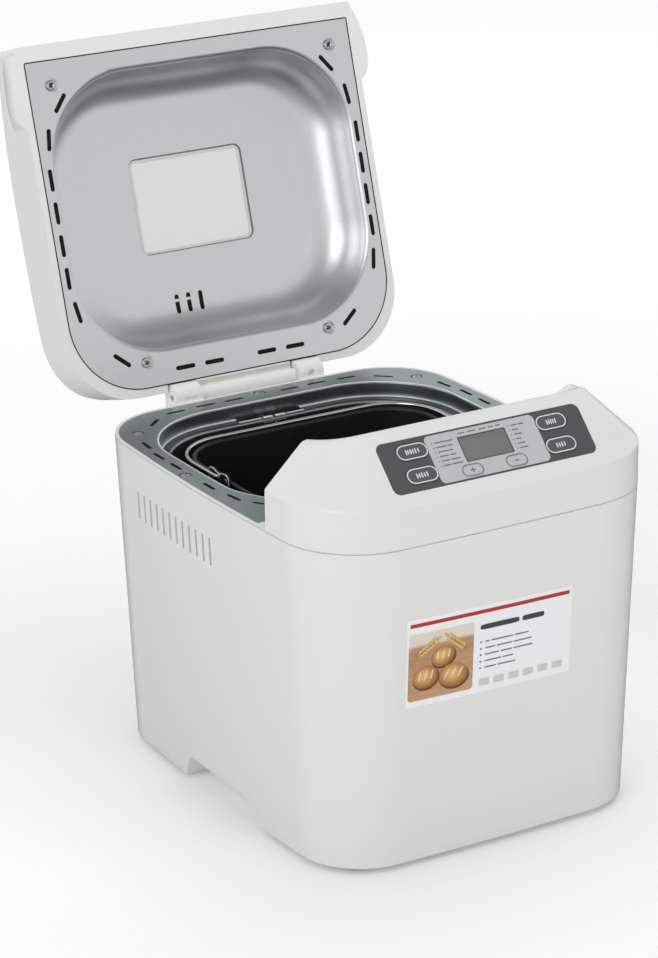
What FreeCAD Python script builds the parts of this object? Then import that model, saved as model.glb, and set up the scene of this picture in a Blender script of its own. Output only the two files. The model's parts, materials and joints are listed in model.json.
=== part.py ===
import FreeCAD, Part
import math
import os

from FreeCAD import Vector

# Bread machine, in millimetres. X runs to the right seen from the front, Y to the back and Z up.
# Everything is drawn round the plan centre of the housing, with the lid closed. The lid is then swung open
# and the whole is moved along Y, so that the origin is under the middle of the object.

# ---- housing ----
body_width = 270.0
body_depth = 326.5
front_radius = 56.0
rear_radius = 51.0
side_bow = 6.3
end_bow = 3.0
body_draft = 8.0  # how far each wall leans in at the bottom
body_bottom = 3.5
rim_height = 229.0
wall = 2.5
seam_drop = 1.6  # from the rim down to the seam
seam_gap = 0.8
seam_depth = 1.2
hood_length = 76.25
ledge_width = 14.0
seat_clearance = 0.2  # between pieces that are set into one another

vent_count = 12
vent_pitch = 9.45
vent_first_y = -12.4
vent_width = 2.5
vent_height = 20.0
vent_drop = 39.0  # from the rim down to the middle of the vents
bottom_rounding = 1.6
cup_radius = 4.4  # round each screw of the deck
cup_depth = 1.2
gland_x = 70.0
gland_height = 40.0

notch_height = 17.9
notch_front_y = -39.0
notch_rear_y = 36.0
notch_front_run = 22.0
notch_rear_run = 10.0
notch_depth = 24.0
notch_growth = (1.3, 0.6, 0.6, 1.1)  # shares of a growth at the corners, from the lower front round

rib_thickness = 2.0
ledge_overlap = 12.0  # of the ledge's web under the hood
rim_band_height = 2.5
rim_band_width = 3.5
deck_screw_rear_x = 113.5
deck_screw_rear_y = 124.0
deck_screw_side_x = 126.6
deck_screw_side_y = 32.0
deck_screw_back = 114.2  # of the middle screw behind the middle of the oven
deck_boss_radius = 3.6
deck_boss_height = 30.0
deck_rib_reach = 20.0
deck_rib_drop = 6.0
deck_pilot_radius = 1.4
deck_pilot_depth = 16.0

gland_flange_radius = 11.0
gland_flange_thickness = 2.5
gland_neck_radius = 8.8
gland_hole_radius = 9.0
gland_nose_radii = (8.0, 6.0)
gland_nose_length = 9.0
gland_bore_radius = 3.2

# ---- screws ----
screw_head_radius = 3.4
screw_head_height = 1.8
screw_shank_radius = 1.5
screw_length = 12.0
base_screw_length = 14.0
sheet_screw_height = 1.3
sheet_shank_radius = 1.3
sheet_screw_hole = 1.7
lid_screw_head_radius = 3.75
base_screw_hole = 1.9
frame_screw_hole = 1.8

# ---- base ----
base_gap = 0.5  # from the lower edge of the housing up to the base plate
base_thickness = 2.5
foot_radius = 8.0
foot_x = 97.0
foot_front_y = -132.0
foot_rear_y = 128.0
foot_stem_radius = 3.0
base_boss_x = 108.0
base_boss_front_y = -95.0
base_boss_rear_y = 105.0
base_boss_radius = 5.0
base_boss_height = 34.0
base_pilot_radius = 1.6
base_pilot_depth = 14.0
base_vent_rows = 4
base_vent_pitch = 16.0
base_vent_length = 36.0
base_vent_width = 4.0
base_vent_columns = (-65.0, -23.0)
base_vent_margin = 24.0  # from the motor forward to the first row

# ---- control hood ----
hood_slope = 44.6
crease_rise = 28.0  # above the rim
crease_setback = 2.25
crease_rounding = 3.0
ridge_rise = 66.0  # above the rim
ridge_rounding = 7.0
hood_rear_drop = 19.3  # from the ridge to the middle of the rear edge
hood_ear_drop = 9.0
hood_ear_x = 111.5
hood_dip_x = 74.0
overlay_width = 154.4
overlay_low = 7.2
overlay_high = 44.0
overlay_corner = 5.0
overlay_thickness = 0.8
display_width = 35.0
display_low = 20.2
display_high = 37.1
display_thickness = 1.6
key_column_x = 53.0
key_upper_row = 34.7
key_lower_row = 17.5
key_width = 23.5
key_height = 11.5
sign_key_x = 16.8
sign_key_row = 13.5
sign_key_width = 16.0
sign_key_height = 8.5
key_corner = 5.4
key_clearance = 0.3
key_travel = 0.8
key_stand = 0.4
key_flange = 1.2
key_stem_radius = 2.2
board_depth = 12.0
board_thickness = 1.6
switch_size = 6.0
switch_height = 3.0
hood_post_radius = 3.0
hood_post_x = 72.0
hood_post_rows = (12.0, 40.0)

# ---- oven: deck, chamber and heater ----
deck_front_margin = 13.0
deck_thickness = 0.8
opening_width = 230.0
opening_length = 199.5
opening_front_radius = 65.0
collar_depth = 11.5
collar_roll = 1.6
deck_slot_length = 15.0
deck_slot_width = 2.8
chamber_width = 216.0
chamber_length = 184.5
chamber_radius = 60.0
chamber_floor = 62.0
chamber_bottom_radius = 12.0
chamber_thickness = 1.0
heater_radius = 3.25
heater_height = 82.0
heater_wall_gap = 7.5
heater_leg_x = 18.0
heater_turn_radius = 6.0
bushing_radius = 6.0
sensor_radius = 3.0
sensor_x = 60.0
sensor_height = 150.0
strap_width = 12.0
flange_gap_low_x = -28.0
flange_gap_high_x = 24.0
clip_x = 44.0  # of the two clips on the front wall
clip_half = 4.0

# ---- drive ----
frame_height = 48.0
frame_thickness = 3.0
frame_shaft_radius = 62.0
frame_motor_radius = 46.0
post_radius = 5.0
motor_x = -45.0
motor_y = -105.0
motor_radius = 31.0
motor_length = 75.0
motor_shaft_radius = 4.0
drive_shaft_radius = 5.0
shaft_clearance = 0.05
drive_pulley_radius = 45.0
motor_pulley_radius = 9.0
pulley_height = 12.0
pulley_gap = 2.0
belt_thickness = 2.0
belt_clearance = 0.3
belt_width = 9.0
bearing_radius = 11.0
bearing_foot_radius = 18.0
bearing_rise = 4.0
running_gap = 0.2
dog_outer_radius = 14.0
dog_inner_radius = 9.5
dog_height = 4.0
coupling_disc = 2.5

board_x_low = 12.0
board_x_high = 88.0
board_y_low = -142.0
board_y_high = -84.0
board_rise = 14.0
capacitor_x = 68.0
capacitor_y = -55.0
capacitor_radius = 14.0
capacitor_height = 38.0

# ---- pan ----
pan_width = 190.0
pan_length = 139.5
pan_radius = 38.0
pan_rim_drop = 10.5  # below the rim of the housing
pan_floor = 78.0
pan_draft = 3.0
pan_thickness = 1.2
pan_bottom_radius = 14.0
pan_bead_radius = 1.6
base_ring_radius = 42.0
base_ring_wall = 2.5
seat_thickness = 2.0
pan_shaft_radius = 4.0
bush_radius = 9.0
bush_rise = 10.0
bush_flange = 2.5
bail_radius = 1.3
bail_gap = 0.3
bail_corner = 38.0
ear_length = 28.0
ear_thickness = 2.0
ear_rise = 3.4

# ---- lid ----
hinge_setback = 10.75
lid_gap = 1.2
lid_front_gap = 2.5
lid_rear_overhang = 6.25
lid_rear_radius = 50.0
lid_front_radius = 4.0
lid_wall = 2.5
lid_crown = 64.8  # height of the lid above its rim
lid_rim_thickness = 3.2
lid_ear_rounding = 12.0
lid_edge_rounding = 4.0
lid_open_angle = 106.5
liner_side_margin = 5.2
liner_front_margin = 11.4
liner_rear_margin = 5.8
liner_thickness = 0.8
liner_front_radius = 1.5
liner_rear_radius = 53.0
liner_shelf = 3.5
liner_slot_length = 15.5
liner_slot_width = 3.2
liner_cup_radius = 5.0
liner_screw_front_x = 112.0
liner_screw_front_y = -55.6
liner_screw_rear_x = 74.5
liner_screw_rear_y = 145.8
steam_slot_columns = (-25.0, -15.5, -5.7)
steam_slot_back = 71.0  # behind the middle of the oven
steam_slot_length = 14.0
steam_slot_width = 3.4
dish_width = 238.0
dish_length = 195.8
dish_radius = 64.0
dish_depth = 36.0
dish_cove = 26.0
dish_roll = 4.0
grip_front_gap = 3.0
grip_length = 54.0
grip_height = 26.0
grip_reach = 9.0
window_width = 92.0
window_length = 69.4
window_radius = 6.0
window_forward = 1.4  # of the middle of the oven
window_ledge = 2.0
pane_thickness = 2.0
pane_lap = 6.0
gasket_width = 3.0
lens_thickness = 1.6
knuckle_inner_x = 40.0
knuckle_outer_x = 60.0
knuckle_swing_gap = 0.7
knuckle_root_height = 20.0
notch_side_gap = 1.5
notch_rise = 12.8
arm_drop = 3.0  # of the arm's underside below the hinge axis
hinge_barrel_radius = 6.0
hinge_pin_radius = 2.5
arm_side_gap = 0.3
arm_rise = 14.0
arm_rounding = 3.5

# ---- places that follow from the sizes above ----
seam_height = rim_height - seam_drop
vent_middle = rim_height - vent_drop
crease_height = rim_height + crease_rise
ridge_height = rim_height + ridge_rise
hood_rear_height = ridge_height - hood_rear_drop
hood_ear_height = ridge_height - hood_ear_drop
pan_rim_height = rim_height - pan_rim_drop
front_y = -body_depth / 2
rear_y = body_depth / 2
hood_rear_y = front_y + hood_length
deck_front_y = hood_rear_y + ledge_width
crease_y = front_y + crease_setback
oven_y = deck_front_y + deck_front_margin + opening_length / 2
base_low = body_bottom + base_gap
base_high = base_low + base_thickness
frame_top = frame_height + frame_thickness
pulley_top = frame_height - pulley_gap
chamber_inside = chamber_floor + chamber_thickness
chamber_rim = rim_height - collar_depth
bearing_top = chamber_floor + bearing_rise
seat_top = chamber_inside + seat_thickness
coupling_low = bearing_top + running_gap
coupling_top = coupling_low + coupling_disc
wing_low = coupling_top + 2 * running_gap
pan_wall_top = 1.0 - 2 * pan_bead_radius
bail_height = pan_rim_height + bail_radius + bail_gap
hinge_y = rear_y + hinge_setback
hinge_z = rim_height + lid_gap
lid_front_y = hood_rear_y + lid_front_gap
lid_rear_y = rear_y + lid_rear_overhang
lid_top = hinge_z + lid_crown
liner_rear_y = lid_rear_y - liner_rear_margin
dish_top = hinge_z + dish_depth
key_slope = math.radians(hood_slope)


# ---- drawing helpers ----

def box(x_low, x_high, y_low, y_high, z_low, z_high):
    """Block between two corners."""
    return Part.makeBox(x_high - x_low, y_high - y_low, z_high - z_low, Vector(x_low, y_low, z_low))


def rod(radius, low, high, x=0.0, y=0.0):
    """Upright cylinder."""
    return Part.makeCylinder(radius, high - low, Vector(x, y, low))


def ring(outer, inner, low, high, x=0.0, y=0.0):
    """Upright ring."""
    return rod(outer, low, high, x, y).cut(rod(inner, low - 1, high + 1, x, y))


def cross_rod(radius, x_low, x_high, y, z):
    """Cylinder along X."""
    return Part.makeCylinder(radius, x_high - x_low, Vector(x_low, y, z), Vector(1, 0, 0))


def moved(shape, x=0.0, y=0.0, z=0.0):
    """Copy of a shape, moved."""
    copy = shape.copy()
    copy.translate(Vector(x, y, z))
    return copy


def turned(shape, angle, axis=Vector(0, 0, 1), centre=Vector(0, 0, 0)):
    """Copy of a shape, turned about an axis."""
    copy = shape.copy()
    copy.rotate(centre, axis, angle)
    return copy


def mirrored(shape):
    """The same shape on the other side of the machine."""
    return shape.mirror(Vector(0, 0, 0), Vector(1, 0, 0))


def both_sides(shape):
    """A shape and its mirror image as two solids."""
    return [shape, mirrored(shape)]


def fused(shapes):
    """One solid out of several that meet."""
    return shapes[0].multiFuse(shapes[1:]).removeSplitter()


def rounded_edges(points, radii):
    """Edges of a path through points, with an arc of the given radius at each inner point."""
    edges = []
    start = points[0]
    for before, corner, after, radius in zip(points, points[1:], points[2:], radii):
        back = (before - corner).normalize()
        onward = (after - corner).normalize()
        half = back.getAngle(onward) / 2
        middle = (back + onward).normalize()
        centre = corner + middle * (radius / math.sin(half))
        first = corner + back * (radius / math.tan(half))
        last = corner + onward * (radius / math.tan(half))
        edges.append(Part.LineSegment(start, first).toShape())
        edges.append(Part.Arc(first, centre - middle * radius, last).toShape())
        start = last
    edges.append(Part.LineSegment(start, points[-1]).toShape())
    return edges


def tube(points, radii, radius):
    """Round bar along a path of straight runs and tangent arcs."""
    path = Part.Wire(rounded_edges(points, radii))
    section = Part.Wire(Part.makeCircle(radius, points[0], points[1] - points[0]))
    return path.makePipeShell([section], True, False)


def sheet_section(points, radii, thickness):
    """Section of a bent sheet in the XZ plane: a path of (x, z) points, thickened to its left."""
    path = [Vector(x, 0, z) for x, z in points]
    runs = [(b - a).normalize() for a, b in zip(path, path[1:])]
    left = [Vector(-run.z, 0, run.x) * thickness for run in runs]
    offset = [path[0] + left[0]]
    inner_radii = []
    for index, radius in enumerate(radii):
        before, after = runs[index], runs[index + 1]
        turn = before.x * after.z - before.z * after.x
        half = before.getAngle(after) / 2
        bisector = (left[index] + left[index + 1]).normalize()
        offset.append(path[index + 1] + bisector * (thickness / math.cos(half)))
        inner_radii.append(radius - math.copysign(thickness, turn))
    offset.append(path[-1] + left[-1])
    edges = rounded_edges(path, radii)
    edges.append(Part.LineSegment(path[-1], offset[-1]).toShape())
    edges += rounded_edges(offset[::-1], inner_radii[::-1])
    edges.append(Part.LineSegment(offset[0], path[0]).toShape())
    return Part.Face(Part.Wire(edges))


def around(section, width, length, radius, centre_y):
    """Wall section carried round a rounded rectangle: its x = 0 runs along the rectangle's edge."""
    half_x = width / 2 - radius
    half_y = length / 2 - radius
    corners = [(half_x, half_y), (-half_x, half_y), (-half_x, -half_y), (half_x, -half_y)]
    placed = moved(section, radius)
    pieces = []
    for turn, (x, y) in enumerate(corners):
        corner = placed.revolve(Vector(0, 0, 0), Vector(0, 0, 1), 90)
        pieces.append(moved(turned(corner, 90 * turn), x, centre_y + y))
        run = 2 * half_x if turn % 2 == 0 else 2 * half_y
        heading = turned(Part.Vertex(run, 0, 0), 90 * (turn + 2)).Point
        side = moved(turned(placed, 90 * (turn + 1)), x, centre_y + y)
        pieces.append(side.extrude(heading))
    return fused(pieces)


def round_prism(width, length, radius, low, high, centre_x=0.0, centre_y=0.0):
    """Upright prism over a rounded rectangle."""
    block = box(-width / 2, width / 2, -length / 2, length / 2, low, high)
    upright = [edge for edge in block.Edges if abs(edge.tangentAt(edge.FirstParameter).z) > 0.9]
    return moved(block.makeFillet(radius, upright), centre_x, centre_y)


def bay_prism(half_width, y_low, y_high, front_corner, rear_corner, low, high):
    """Upright prism over a rectangle with small front corners and large rear corners."""
    block = box(-half_width, half_width, y_low, y_high, low, high)
    for radius, edge_y in ((front_corner, y_low), (rear_corner, y_high)):
        upright = [edge for edge in block.Edges if abs(edge.tangentAt(edge.FirstParameter).z) > 0.9]
        ends = [edge for edge in upright if abs(edge.CenterOfMass.y - edge_y) < 0.01]
        block = block.makeFillet(radius, ends)
    return block


def slot(length, width, x, y, angle, low, high):
    """Round-ended slot cutter, lying at an angle from X."""
    shape = round_prism(length, width, width / 2 - 0.01, low, high)
    return moved(turned(shape, angle), x, y)


def loop_wire(first, first_radius, second, second_radius):
    """Outline that wraps two circles, given by their centres and radii."""
    span = second - first
    heading = math.atan2(span.y, span.x)
    lean = math.acos((first_radius - second_radius) / span.Length)

    def at(centre, radius, angle):
        return centre + Vector(math.cos(angle), math.sin(angle), 0) * radius

    a = at(first, first_radius, heading + lean)
    b = at(first, first_radius, heading - lean)
    c = at(second, second_radius, heading - lean)
    d = at(second, second_radius, heading + lean)
    return Part.Wire([
        Part.Arc(a, at(first, first_radius, heading + math.pi), b).toShape(),
        Part.LineSegment(b, c).toShape(),
        Part.Arc(c, at(second, second_radius, heading), d).toShape(),
        Part.LineSegment(d, a).toShape(),
    ])


def outline(inset, height, front_bow=end_bow, growth=0.0):
    """Plan outline of the housing: four bowed sides and rounded corners, drawn in or out by the inset."""
    hx = body_width / 2 - inset
    hy = body_depth / 2 - inset
    front = hy - growth
    corners = [
        Vector(-hx + side_bow, -front + front_bow, height),
        Vector(hx - side_bow, -front + front_bow, height),
        Vector(hx - side_bow, hy - end_bow, height),
        Vector(-hx + side_bow, hy - end_bow, height),
    ]
    middles = [
        Vector(0, -front, height),
        Vector(hx, 0, height),
        Vector(0, hy, height),
        Vector(-hx, 0, height),
    ]
    edges = []
    for index, middle in enumerate(middles):
        start, end = corners[index], corners[(index + 1) % 4]
        if (middle - (start + end) * 0.5).Length > 0.001:
            edges.append(Part.Arc(start, middle, end).toShape())
        else:
            edges.append(Part.LineSegment(start, end).toShape())
    prism = Part.Face(Part.Wire(edges)).extrude(Vector(0, 0, 10))
    for corner_radius, side in ((front_radius, -1), (rear_radius, 1)):
        sharp = [
            edge for edge in prism.Edges
            if abs(edge.BoundBox.ZLength - 10) < 0.01
            and abs(edge.Vertexes[0].Y - edge.Vertexes[1].Y) < 0.01
            and edge.Vertexes[0].Y * side > 0
            and edge.Vertexes[0].Y * side > min(front, hy) - max(end_bow, front_bow) - 0.5
        ]
        prism = prism.makeFillet(max(corner_radius - inset, 1.0), sharp)
    base = min(prism.Faces, key=lambda face: face.CenterOfMass.z)
    return base.OuterWire


def draft_at(height):
    """How far the housing's walls have leaned in at a height."""
    return body_draft * (rim_height - height) / (rim_height - body_bottom)


def body_form(inset, low, high):
    """Solid inside the housing's leaning walls between two heights."""
    lower = outline(inset + draft_at(low), low)
    upper = outline(inset + draft_at(high), high)
    return Part.makeLoft([lower, upper], True, True)


def on_panel(shape):
    """Carry a shape drawn flat to the hood's sloping panel: y runs up the slope and z out of it."""
    return moved(turned(shape, hood_slope, Vector(1, 0, 0)), 0, crease_y, crease_height)


def opened(shape):
    """Swing a piece of the lid back to its open place."""
    return turned(shape, -lid_open_angle, Vector(1, 0, 0), Vector(0, hinge_y, hinge_z))


# ---- housing ----

def vent_cutters():
    """Upright vent slots through both side walls."""
    cutters = []
    for index in range(vent_count):
        y = vent_first_y + index * vent_pitch
        flat = slot(vent_height, vent_width, 0, 0, 0, body_width / 2 - 15, body_width / 2 + 5)
        upright = turned(flat, 90, Vector(0, 1, 0))
        cutters.append(moved(upright, 0, y, vent_middle))
    return cutters + [mirrored(cutter) for cutter in cutters]


def notch_form(grow, depth):
    """Trapezoid of the hand-hold in a side wall, grown on every side and cut to a depth."""
    low = body_bottom - 1
    high = body_bottom + notch_height + grow
    corners = [
        Vector(0, notch_front_y - notch_front_run - grow * notch_growth[0], low),
        Vector(0, notch_front_y - grow * notch_growth[1], high),
        Vector(0, notch_rear_y + grow * notch_growth[2], high),
        Vector(0, notch_rear_y + notch_rear_run + grow * notch_growth[3], low),
    ]
    face = Part.Face(Part.makePolygon(corners + corners[:1]))
    inner = body_width / 2 - body_draft - depth - grow
    return moved(face, inner).extrude(Vector(body_width / 2 + 5 - inner, 0, 0))


def base_bosses():
    """Screw bosses for the base plate, each tied to the nearest side wall by a rib."""
    bosses = []
    half, top = rib_thickness / 2, base_high + base_boss_height
    for y in (base_boss_front_y, base_boss_rear_y):
        post = rod(base_boss_radius, base_high, top, base_boss_x, y)
        rib = box(base_boss_x, body_width / 2, y - half, y + half, base_high, top)
        pilot = rod(base_pilot_radius, base_high - 1, base_high + base_pilot_depth, base_boss_x, y)
        bosses += both_sides(fused([post, rib]).cut(pilot))
    return bosses


def deck_screw_places():
    """Plan positions of the screws that hold the deck."""
    return [
        (deck_screw_rear_x, deck_screw_rear_y), (-deck_screw_rear_x, deck_screw_rear_y),
        (deck_screw_side_x, deck_screw_side_y), (-deck_screw_side_x, deck_screw_side_y),
        (0.0, oven_y + deck_screw_back),
    ]


def deck_bosses():
    """Screw bosses under the deck, each tied to the wall by a rib."""
    bosses = []
    half, low, rib_top = rib_thickness / 2, rim_height - deck_boss_height, rim_height - deck_rib_drop
    for x, y in deck_screw_places():
        post = rod(deck_boss_radius, low, rim_height - cup_depth - deck_thickness, x, y)
        if x:
            reach = math.copysign(deck_rib_reach, x)
            rib = box(min(x, x + reach), max(x, x + reach), y - half, y + half, low, rib_top)
        else:
            rib = box(-half, half, y, y + deck_rib_reach, low, rib_top)
        pilot = rod(deck_pilot_radius, rim_height - deck_pilot_depth, rim_height, x, y)
        bosses.append(fused([post, rib]).cut(pilot))
    return bosses


def housing_shell():
    """Outer housing: leaning walls with vents, hand-holds, a ledge behind the hood and inner bosses."""
    outer = body_form(0, body_bottom, rim_height)
    lower = [edge for edge in outer.Edges if edge.BoundBox.ZMax < body_bottom + 0.1]
    outer = outer.makeFillet(bottom_rounding, lower)
    shell = outer.cut(body_form(wall, body_bottom - 1, rim_height + 1))
    front_half = box(-body_width, body_width, front_y - 10, hood_rear_y, seam_height, rim_height + 5)
    shell = shell.cut(front_half)
    below = seam_height - deck_boss_height
    core = body_form(wall / 2, below, rim_height)
    web = box(-body_width, body_width, hood_rear_y - ledge_overlap, deck_front_y,
              seam_height - wall, seam_height)
    ledge = box(-body_width, body_width, hood_rear_y, deck_front_y - seat_clearance, seam_height, rim_height)
    band_top = rim_height - deck_thickness
    rim_band = body_form(wall / 2, band_top - rim_band_height, band_top)
    rim_band = rim_band.cut(body_form(wall + rim_band_width, below, rim_height + 1))
    behind = box(-body_width, body_width, deck_front_y - 1, rear_y + 10, 0, rim_height + 5)
    pockets = [notch_form(wall, notch_depth), mirrored(notch_form(wall, notch_depth))]
    slots = [notch_form(0, notch_depth), mirrored(notch_form(0, notch_depth))]
    inside = body_form(wall / 2, body_bottom, rim_height)
    above_base = box(-body_width, body_width, front_y, rear_y, base_high, rim_height)
    parts = [shell, web.common(core), ledge.common(core), rim_band.common(behind)]
    parts += [pocket.common(inside) for pocket in pockets]
    parts += [boss.common(inside).common(above_base) for boss in base_bosses() + deck_bosses()]
    housing = fused(parts)
    cutters = slots + vent_cutters()
    cutters.append(Part.makeCylinder(
        gland_hole_radius, 20, Vector(gland_x, rear_y - 12, gland_height), Vector(0, 1, 0)))
    cup_low = rim_height - cup_depth - deck_thickness
    for x, y in deck_screw_places():
        cutters.append(rod(cup_radius + deck_thickness + seat_clearance, cup_low, rim_height + 1, x, y))
    return housing.cut(Part.makeCompound(cutters)).removeSplitter()


def cord_gland():
    """Strain relief through the rear wall."""
    axis = Vector(0, 1, 0)
    wall_y = rear_y - draft_at(gland_height) - end_bow * (gland_x / (body_width / 2)) ** 2

    def place(offset):
        return Vector(gland_x, wall_y + offset, gland_height)

    outside = 0.4
    flange = Part.makeCylinder(gland_flange_radius, gland_flange_thickness, place(outside), axis)
    neck = Part.makeCylinder(gland_neck_radius, 10.0, place(-8), axis)
    nose = Part.makeCone(*gland_nose_radii, gland_nose_length, place(outside + gland_flange_thickness), axis)
    nut = Part.makeCylinder(gland_flange_radius, gland_flange_thickness, place(-6.4), axis)
    bore = Part.makeCylinder(gland_bore_radius, 40, place(-12), axis)
    return fused([flange, neck, nose, nut]).cut(bore)


# ---- base ----

def frame_posts():
    """Plan positions of the posts that carry the drive frame."""
    shaft_reach = frame_shaft_radius - post_radius - 1
    motor_reach = frame_motor_radius - post_radius - 1
    places = []
    for angle in (25, 155):
        turn = math.radians(angle)
        places.append((shaft_reach * math.cos(turn), oven_y + shaft_reach * math.sin(turn)))
    for angle in (180, 270):
        turn = math.radians(angle)
        places.append((motor_x + motor_reach * math.cos(turn), motor_y + motor_reach * math.sin(turn)))
    return places


def base_plate():
    """Floor of the machine, with the posts of the drive frame and rows of vent slots under the motor."""
    plate = body_form(wall + seat_clearance, base_low, base_high)
    for pocket in both_sides(notch_form(wall + seat_clearance, notch_depth)):
        plate = plate.cut(pocket)
    posts = [rod(post_radius, base_high, frame_height, x, y) for x, y in frame_posts()]
    board = power_board_posts()
    plate = fused([plate] + posts + board)
    holes = [rod(foot_stem_radius + 0.1, 0, 20, x, y) for x, y in foot_places()]
    for y in (base_boss_front_y, base_boss_rear_y):
        holes += both_sides(rod(base_screw_hole, 0, 20, base_boss_x, y))
    for row in range(base_vent_rows):
        y = motor_y - base_vent_margin + row * base_vent_pitch
        for x in base_vent_columns:
            holes.append(slot(base_vent_length, base_vent_width, x, y, 0, 0, 20))
    pilot_low = frame_height - base_pilot_depth
    holes += [rod(sheet_screw_hole, pilot_low, frame_height + 1, x, y) for x, y in frame_posts()]
    return plate.cut(Part.makeCompound(holes))


def foot_places():
    """Plan positions of the feet."""
    return [(x, y) for y in (foot_front_y, foot_rear_y) for x in (-foot_x, foot_x)]


def foot(x, y):
    """Rubber foot with a stem through the base plate."""
    profile = Part.makePolygon([
        Vector(0, 0, 0),
        Vector(foot_radius - 1.2, 0, 0),
        Vector(foot_radius, 0, 1.2),
        Vector(foot_radius, 0, base_low),
        Vector(foot_stem_radius, 0, base_low),
        Vector(foot_stem_radius, 0, base_high),
        Vector(foot_stem_radius + 1.2, 0, base_high),
        Vector(foot_stem_radius, 0, base_high + 3),
        Vector(0, 0, base_high + 3),
        Vector(0, 0, 0),
    ])
    return moved(Part.Face(profile).revolve(Vector(0, 0, 0), Vector(0, 0, 1), 360), x, y)


def screw(head_radius, head_height, shank_radius, length):
    """Pan-head screw that points down, with the underside of its head at z = 0."""
    head = rod(head_radius, 0, head_height)
    rim = [edge for edge in head.Edges if abs(edge.CenterOfMass.z - head_height) < 0.01]
    head = head.makeFillet(head_height * 0.6, rim[:1])
    return fused([head, rod(shank_radius, -length, 0)])


def screw_cup(radius, depth, sheet, height, x, y):
    """Pressed cup for a screw in a sheet: its bottom lies at a depth below the sheet's upper face."""
    low = height - depth - sheet
    cup = rod(radius + sheet, low, height, x, y)
    return cup.cut(rod(radius, low + sheet, height + 1, x, y))


def base_screws():
    """Screws up through the base plate into the housing's bosses."""
    one = screw(screw_head_radius, screw_head_height, screw_shank_radius, base_screw_length)
    one = turned(one, 180, Vector(1, 0, 0))
    places = [(x, y) for y in (base_boss_front_y, base_boss_rear_y) for x in (-base_boss_x, base_boss_x)]
    return [moved(one, x, y, base_low) for x, y in places]


# ---- control hood ----

def hood_form(inset):
    """Solid of the hood, drawn in on every side: upright walls, a hipped slope and an eared, dipping top."""
    rise = math.tan(key_slope)
    low, high = crease_height - 20, ridge_height + 5
    out = 20 / rise - inset / math.sin(key_slope)
    slope_in = (high - crease_height) / rise + inset / math.sin(key_slope)
    pyramid = Part.makeLoft([
        outline(-out, low, 0.0, crease_setback),
        outline(slope_in, high, 0.0, crease_setback),
    ], True, True)
    walls = Part.Face(outline(inset, seam_height - 1)).extrude(Vector(0, 0, high - seam_height + 1))
    back = box(-body_width, body_width, front_y - 5, hood_rear_y - inset, seam_height, high)
    base = Part.Face(outline(inset, seam_height - 1)).extrude(Vector(0, 0, low - seam_height + 1))
    solid = fused([base.common(back), walls.common(pyramid).common(back)])
    return hood_rounded(solid.cut(hood_top_cutter(inset)), hood_rear_y - inset)


def hood_rounded(solid, end_y):
    """The hood's solid with its crease and its ridge and hips rounded, up to its rear end."""
    ridge = [
        edge for edge in solid.Edges
        if edge.CenterOfMass.z > crease_height + 5 and edge.CenterOfMass.y < end_y - 0.5
        and not (abs(abs(edge.CenterOfMass.x) - hood_dip_x) < 7 and edge.BoundBox.XLength < 3)
    ]
    solid = solid.makeFillet(ridge_rounding, ridge)
    crease = [
        edge for edge in solid.Edges
        if abs(edge.CenterOfMass.z - crease_height) < 4 and edge.BoundBox.ZLength < 2
        and edge.CenterOfMass.y < end_y - 0.5
    ]
    return solid.makeFillet(crease_rounding, crease)


def hood_top_cutter(inset):
    """What lies above the hood's top: flat along the ridge, dipped between two ears at the rear."""
    ridge_y = crease_y + (ridge_height - crease_height) / math.tan(key_slope)
    far, top = body_width, ridge_height + 20
    drop = inset * 1.13
    low, ear = hood_rear_height - drop, hood_ear_height - drop
    middle = (hood_dip_x + hood_ear_x) / 2

    def flat(x_from, x_to, y, z):
        return Part.LineSegment(Vector(x_from, y, z), Vector(x_to, y, z)).toShape()

    def swell(x_from, x_to, y, z_from, z_to):
        curve = Part.BezierCurve()
        curve.setPoles([Vector(x_from, y, z_from), Vector(math.copysign(middle, x_from), y, z_from),
                        Vector(math.copysign(middle, x_from), y, z_to), Vector(x_to, y, z_to)])
        return curve.toShape()

    def closed(edges, y, left, right):
        up = Part.LineSegment(Vector(far, y, right), Vector(far, y, top)).toShape()
        over = Part.LineSegment(Vector(far, y, top), Vector(-far, y, top)).toShape()
        down = Part.LineSegment(Vector(-far, y, top), Vector(-far, y, left)).toShape()
        return Part.Wire(edges + [up, over, down])

    level = ridge_height - drop
    ridge = closed([
        flat(-far, -hood_ear_x, ridge_y, level),
        flat(-hood_ear_x, -hood_dip_x, ridge_y, level),
        flat(-hood_dip_x, hood_dip_x, ridge_y, level),
        flat(hood_dip_x, hood_ear_x, ridge_y, level),
        flat(hood_ear_x, far, ridge_y, level),
    ], ridge_y, level, level)
    rear = closed([
        flat(-far, -hood_ear_x, hood_rear_y, ear),
        swell(-hood_ear_x, -hood_dip_x, hood_rear_y, ear, low),
        flat(-hood_dip_x, hood_dip_x, hood_rear_y, low),
        swell(hood_dip_x, hood_ear_x, hood_rear_y, low, ear),
        flat(hood_ear_x, far, hood_rear_y, ear),
    ], hood_rear_y, ear, ear)
    return Part.makeLoft([ridge, rear], True, True)


def keys():
    """Names, places and sizes of the keys on the panel: across, up the slope, width and height."""
    return {
        "key_upper_left": (-key_column_x, key_upper_row, key_width, key_height),
        "key_lower_left": (-key_column_x, key_lower_row, key_width, key_height),
        "key_upper_right": (key_column_x, key_upper_row, key_width, key_height),
        "key_lower_right": (key_column_x, key_lower_row, key_width, key_height),
        "key_plus": (-sign_key_x, sign_key_row, sign_key_width, sign_key_height),
        "key_minus": (sign_key_x, sign_key_row, sign_key_width, sign_key_height),
    }


def pill(width, height, grow, low, high, x, y):
    """Rounded bar in the panel's flat frame."""
    radius = min(key_corner, height / 2) + grow - 0.05
    return round_prism(width + 2 * grow, height + 2 * grow, radius, low, high, x, y)


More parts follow.
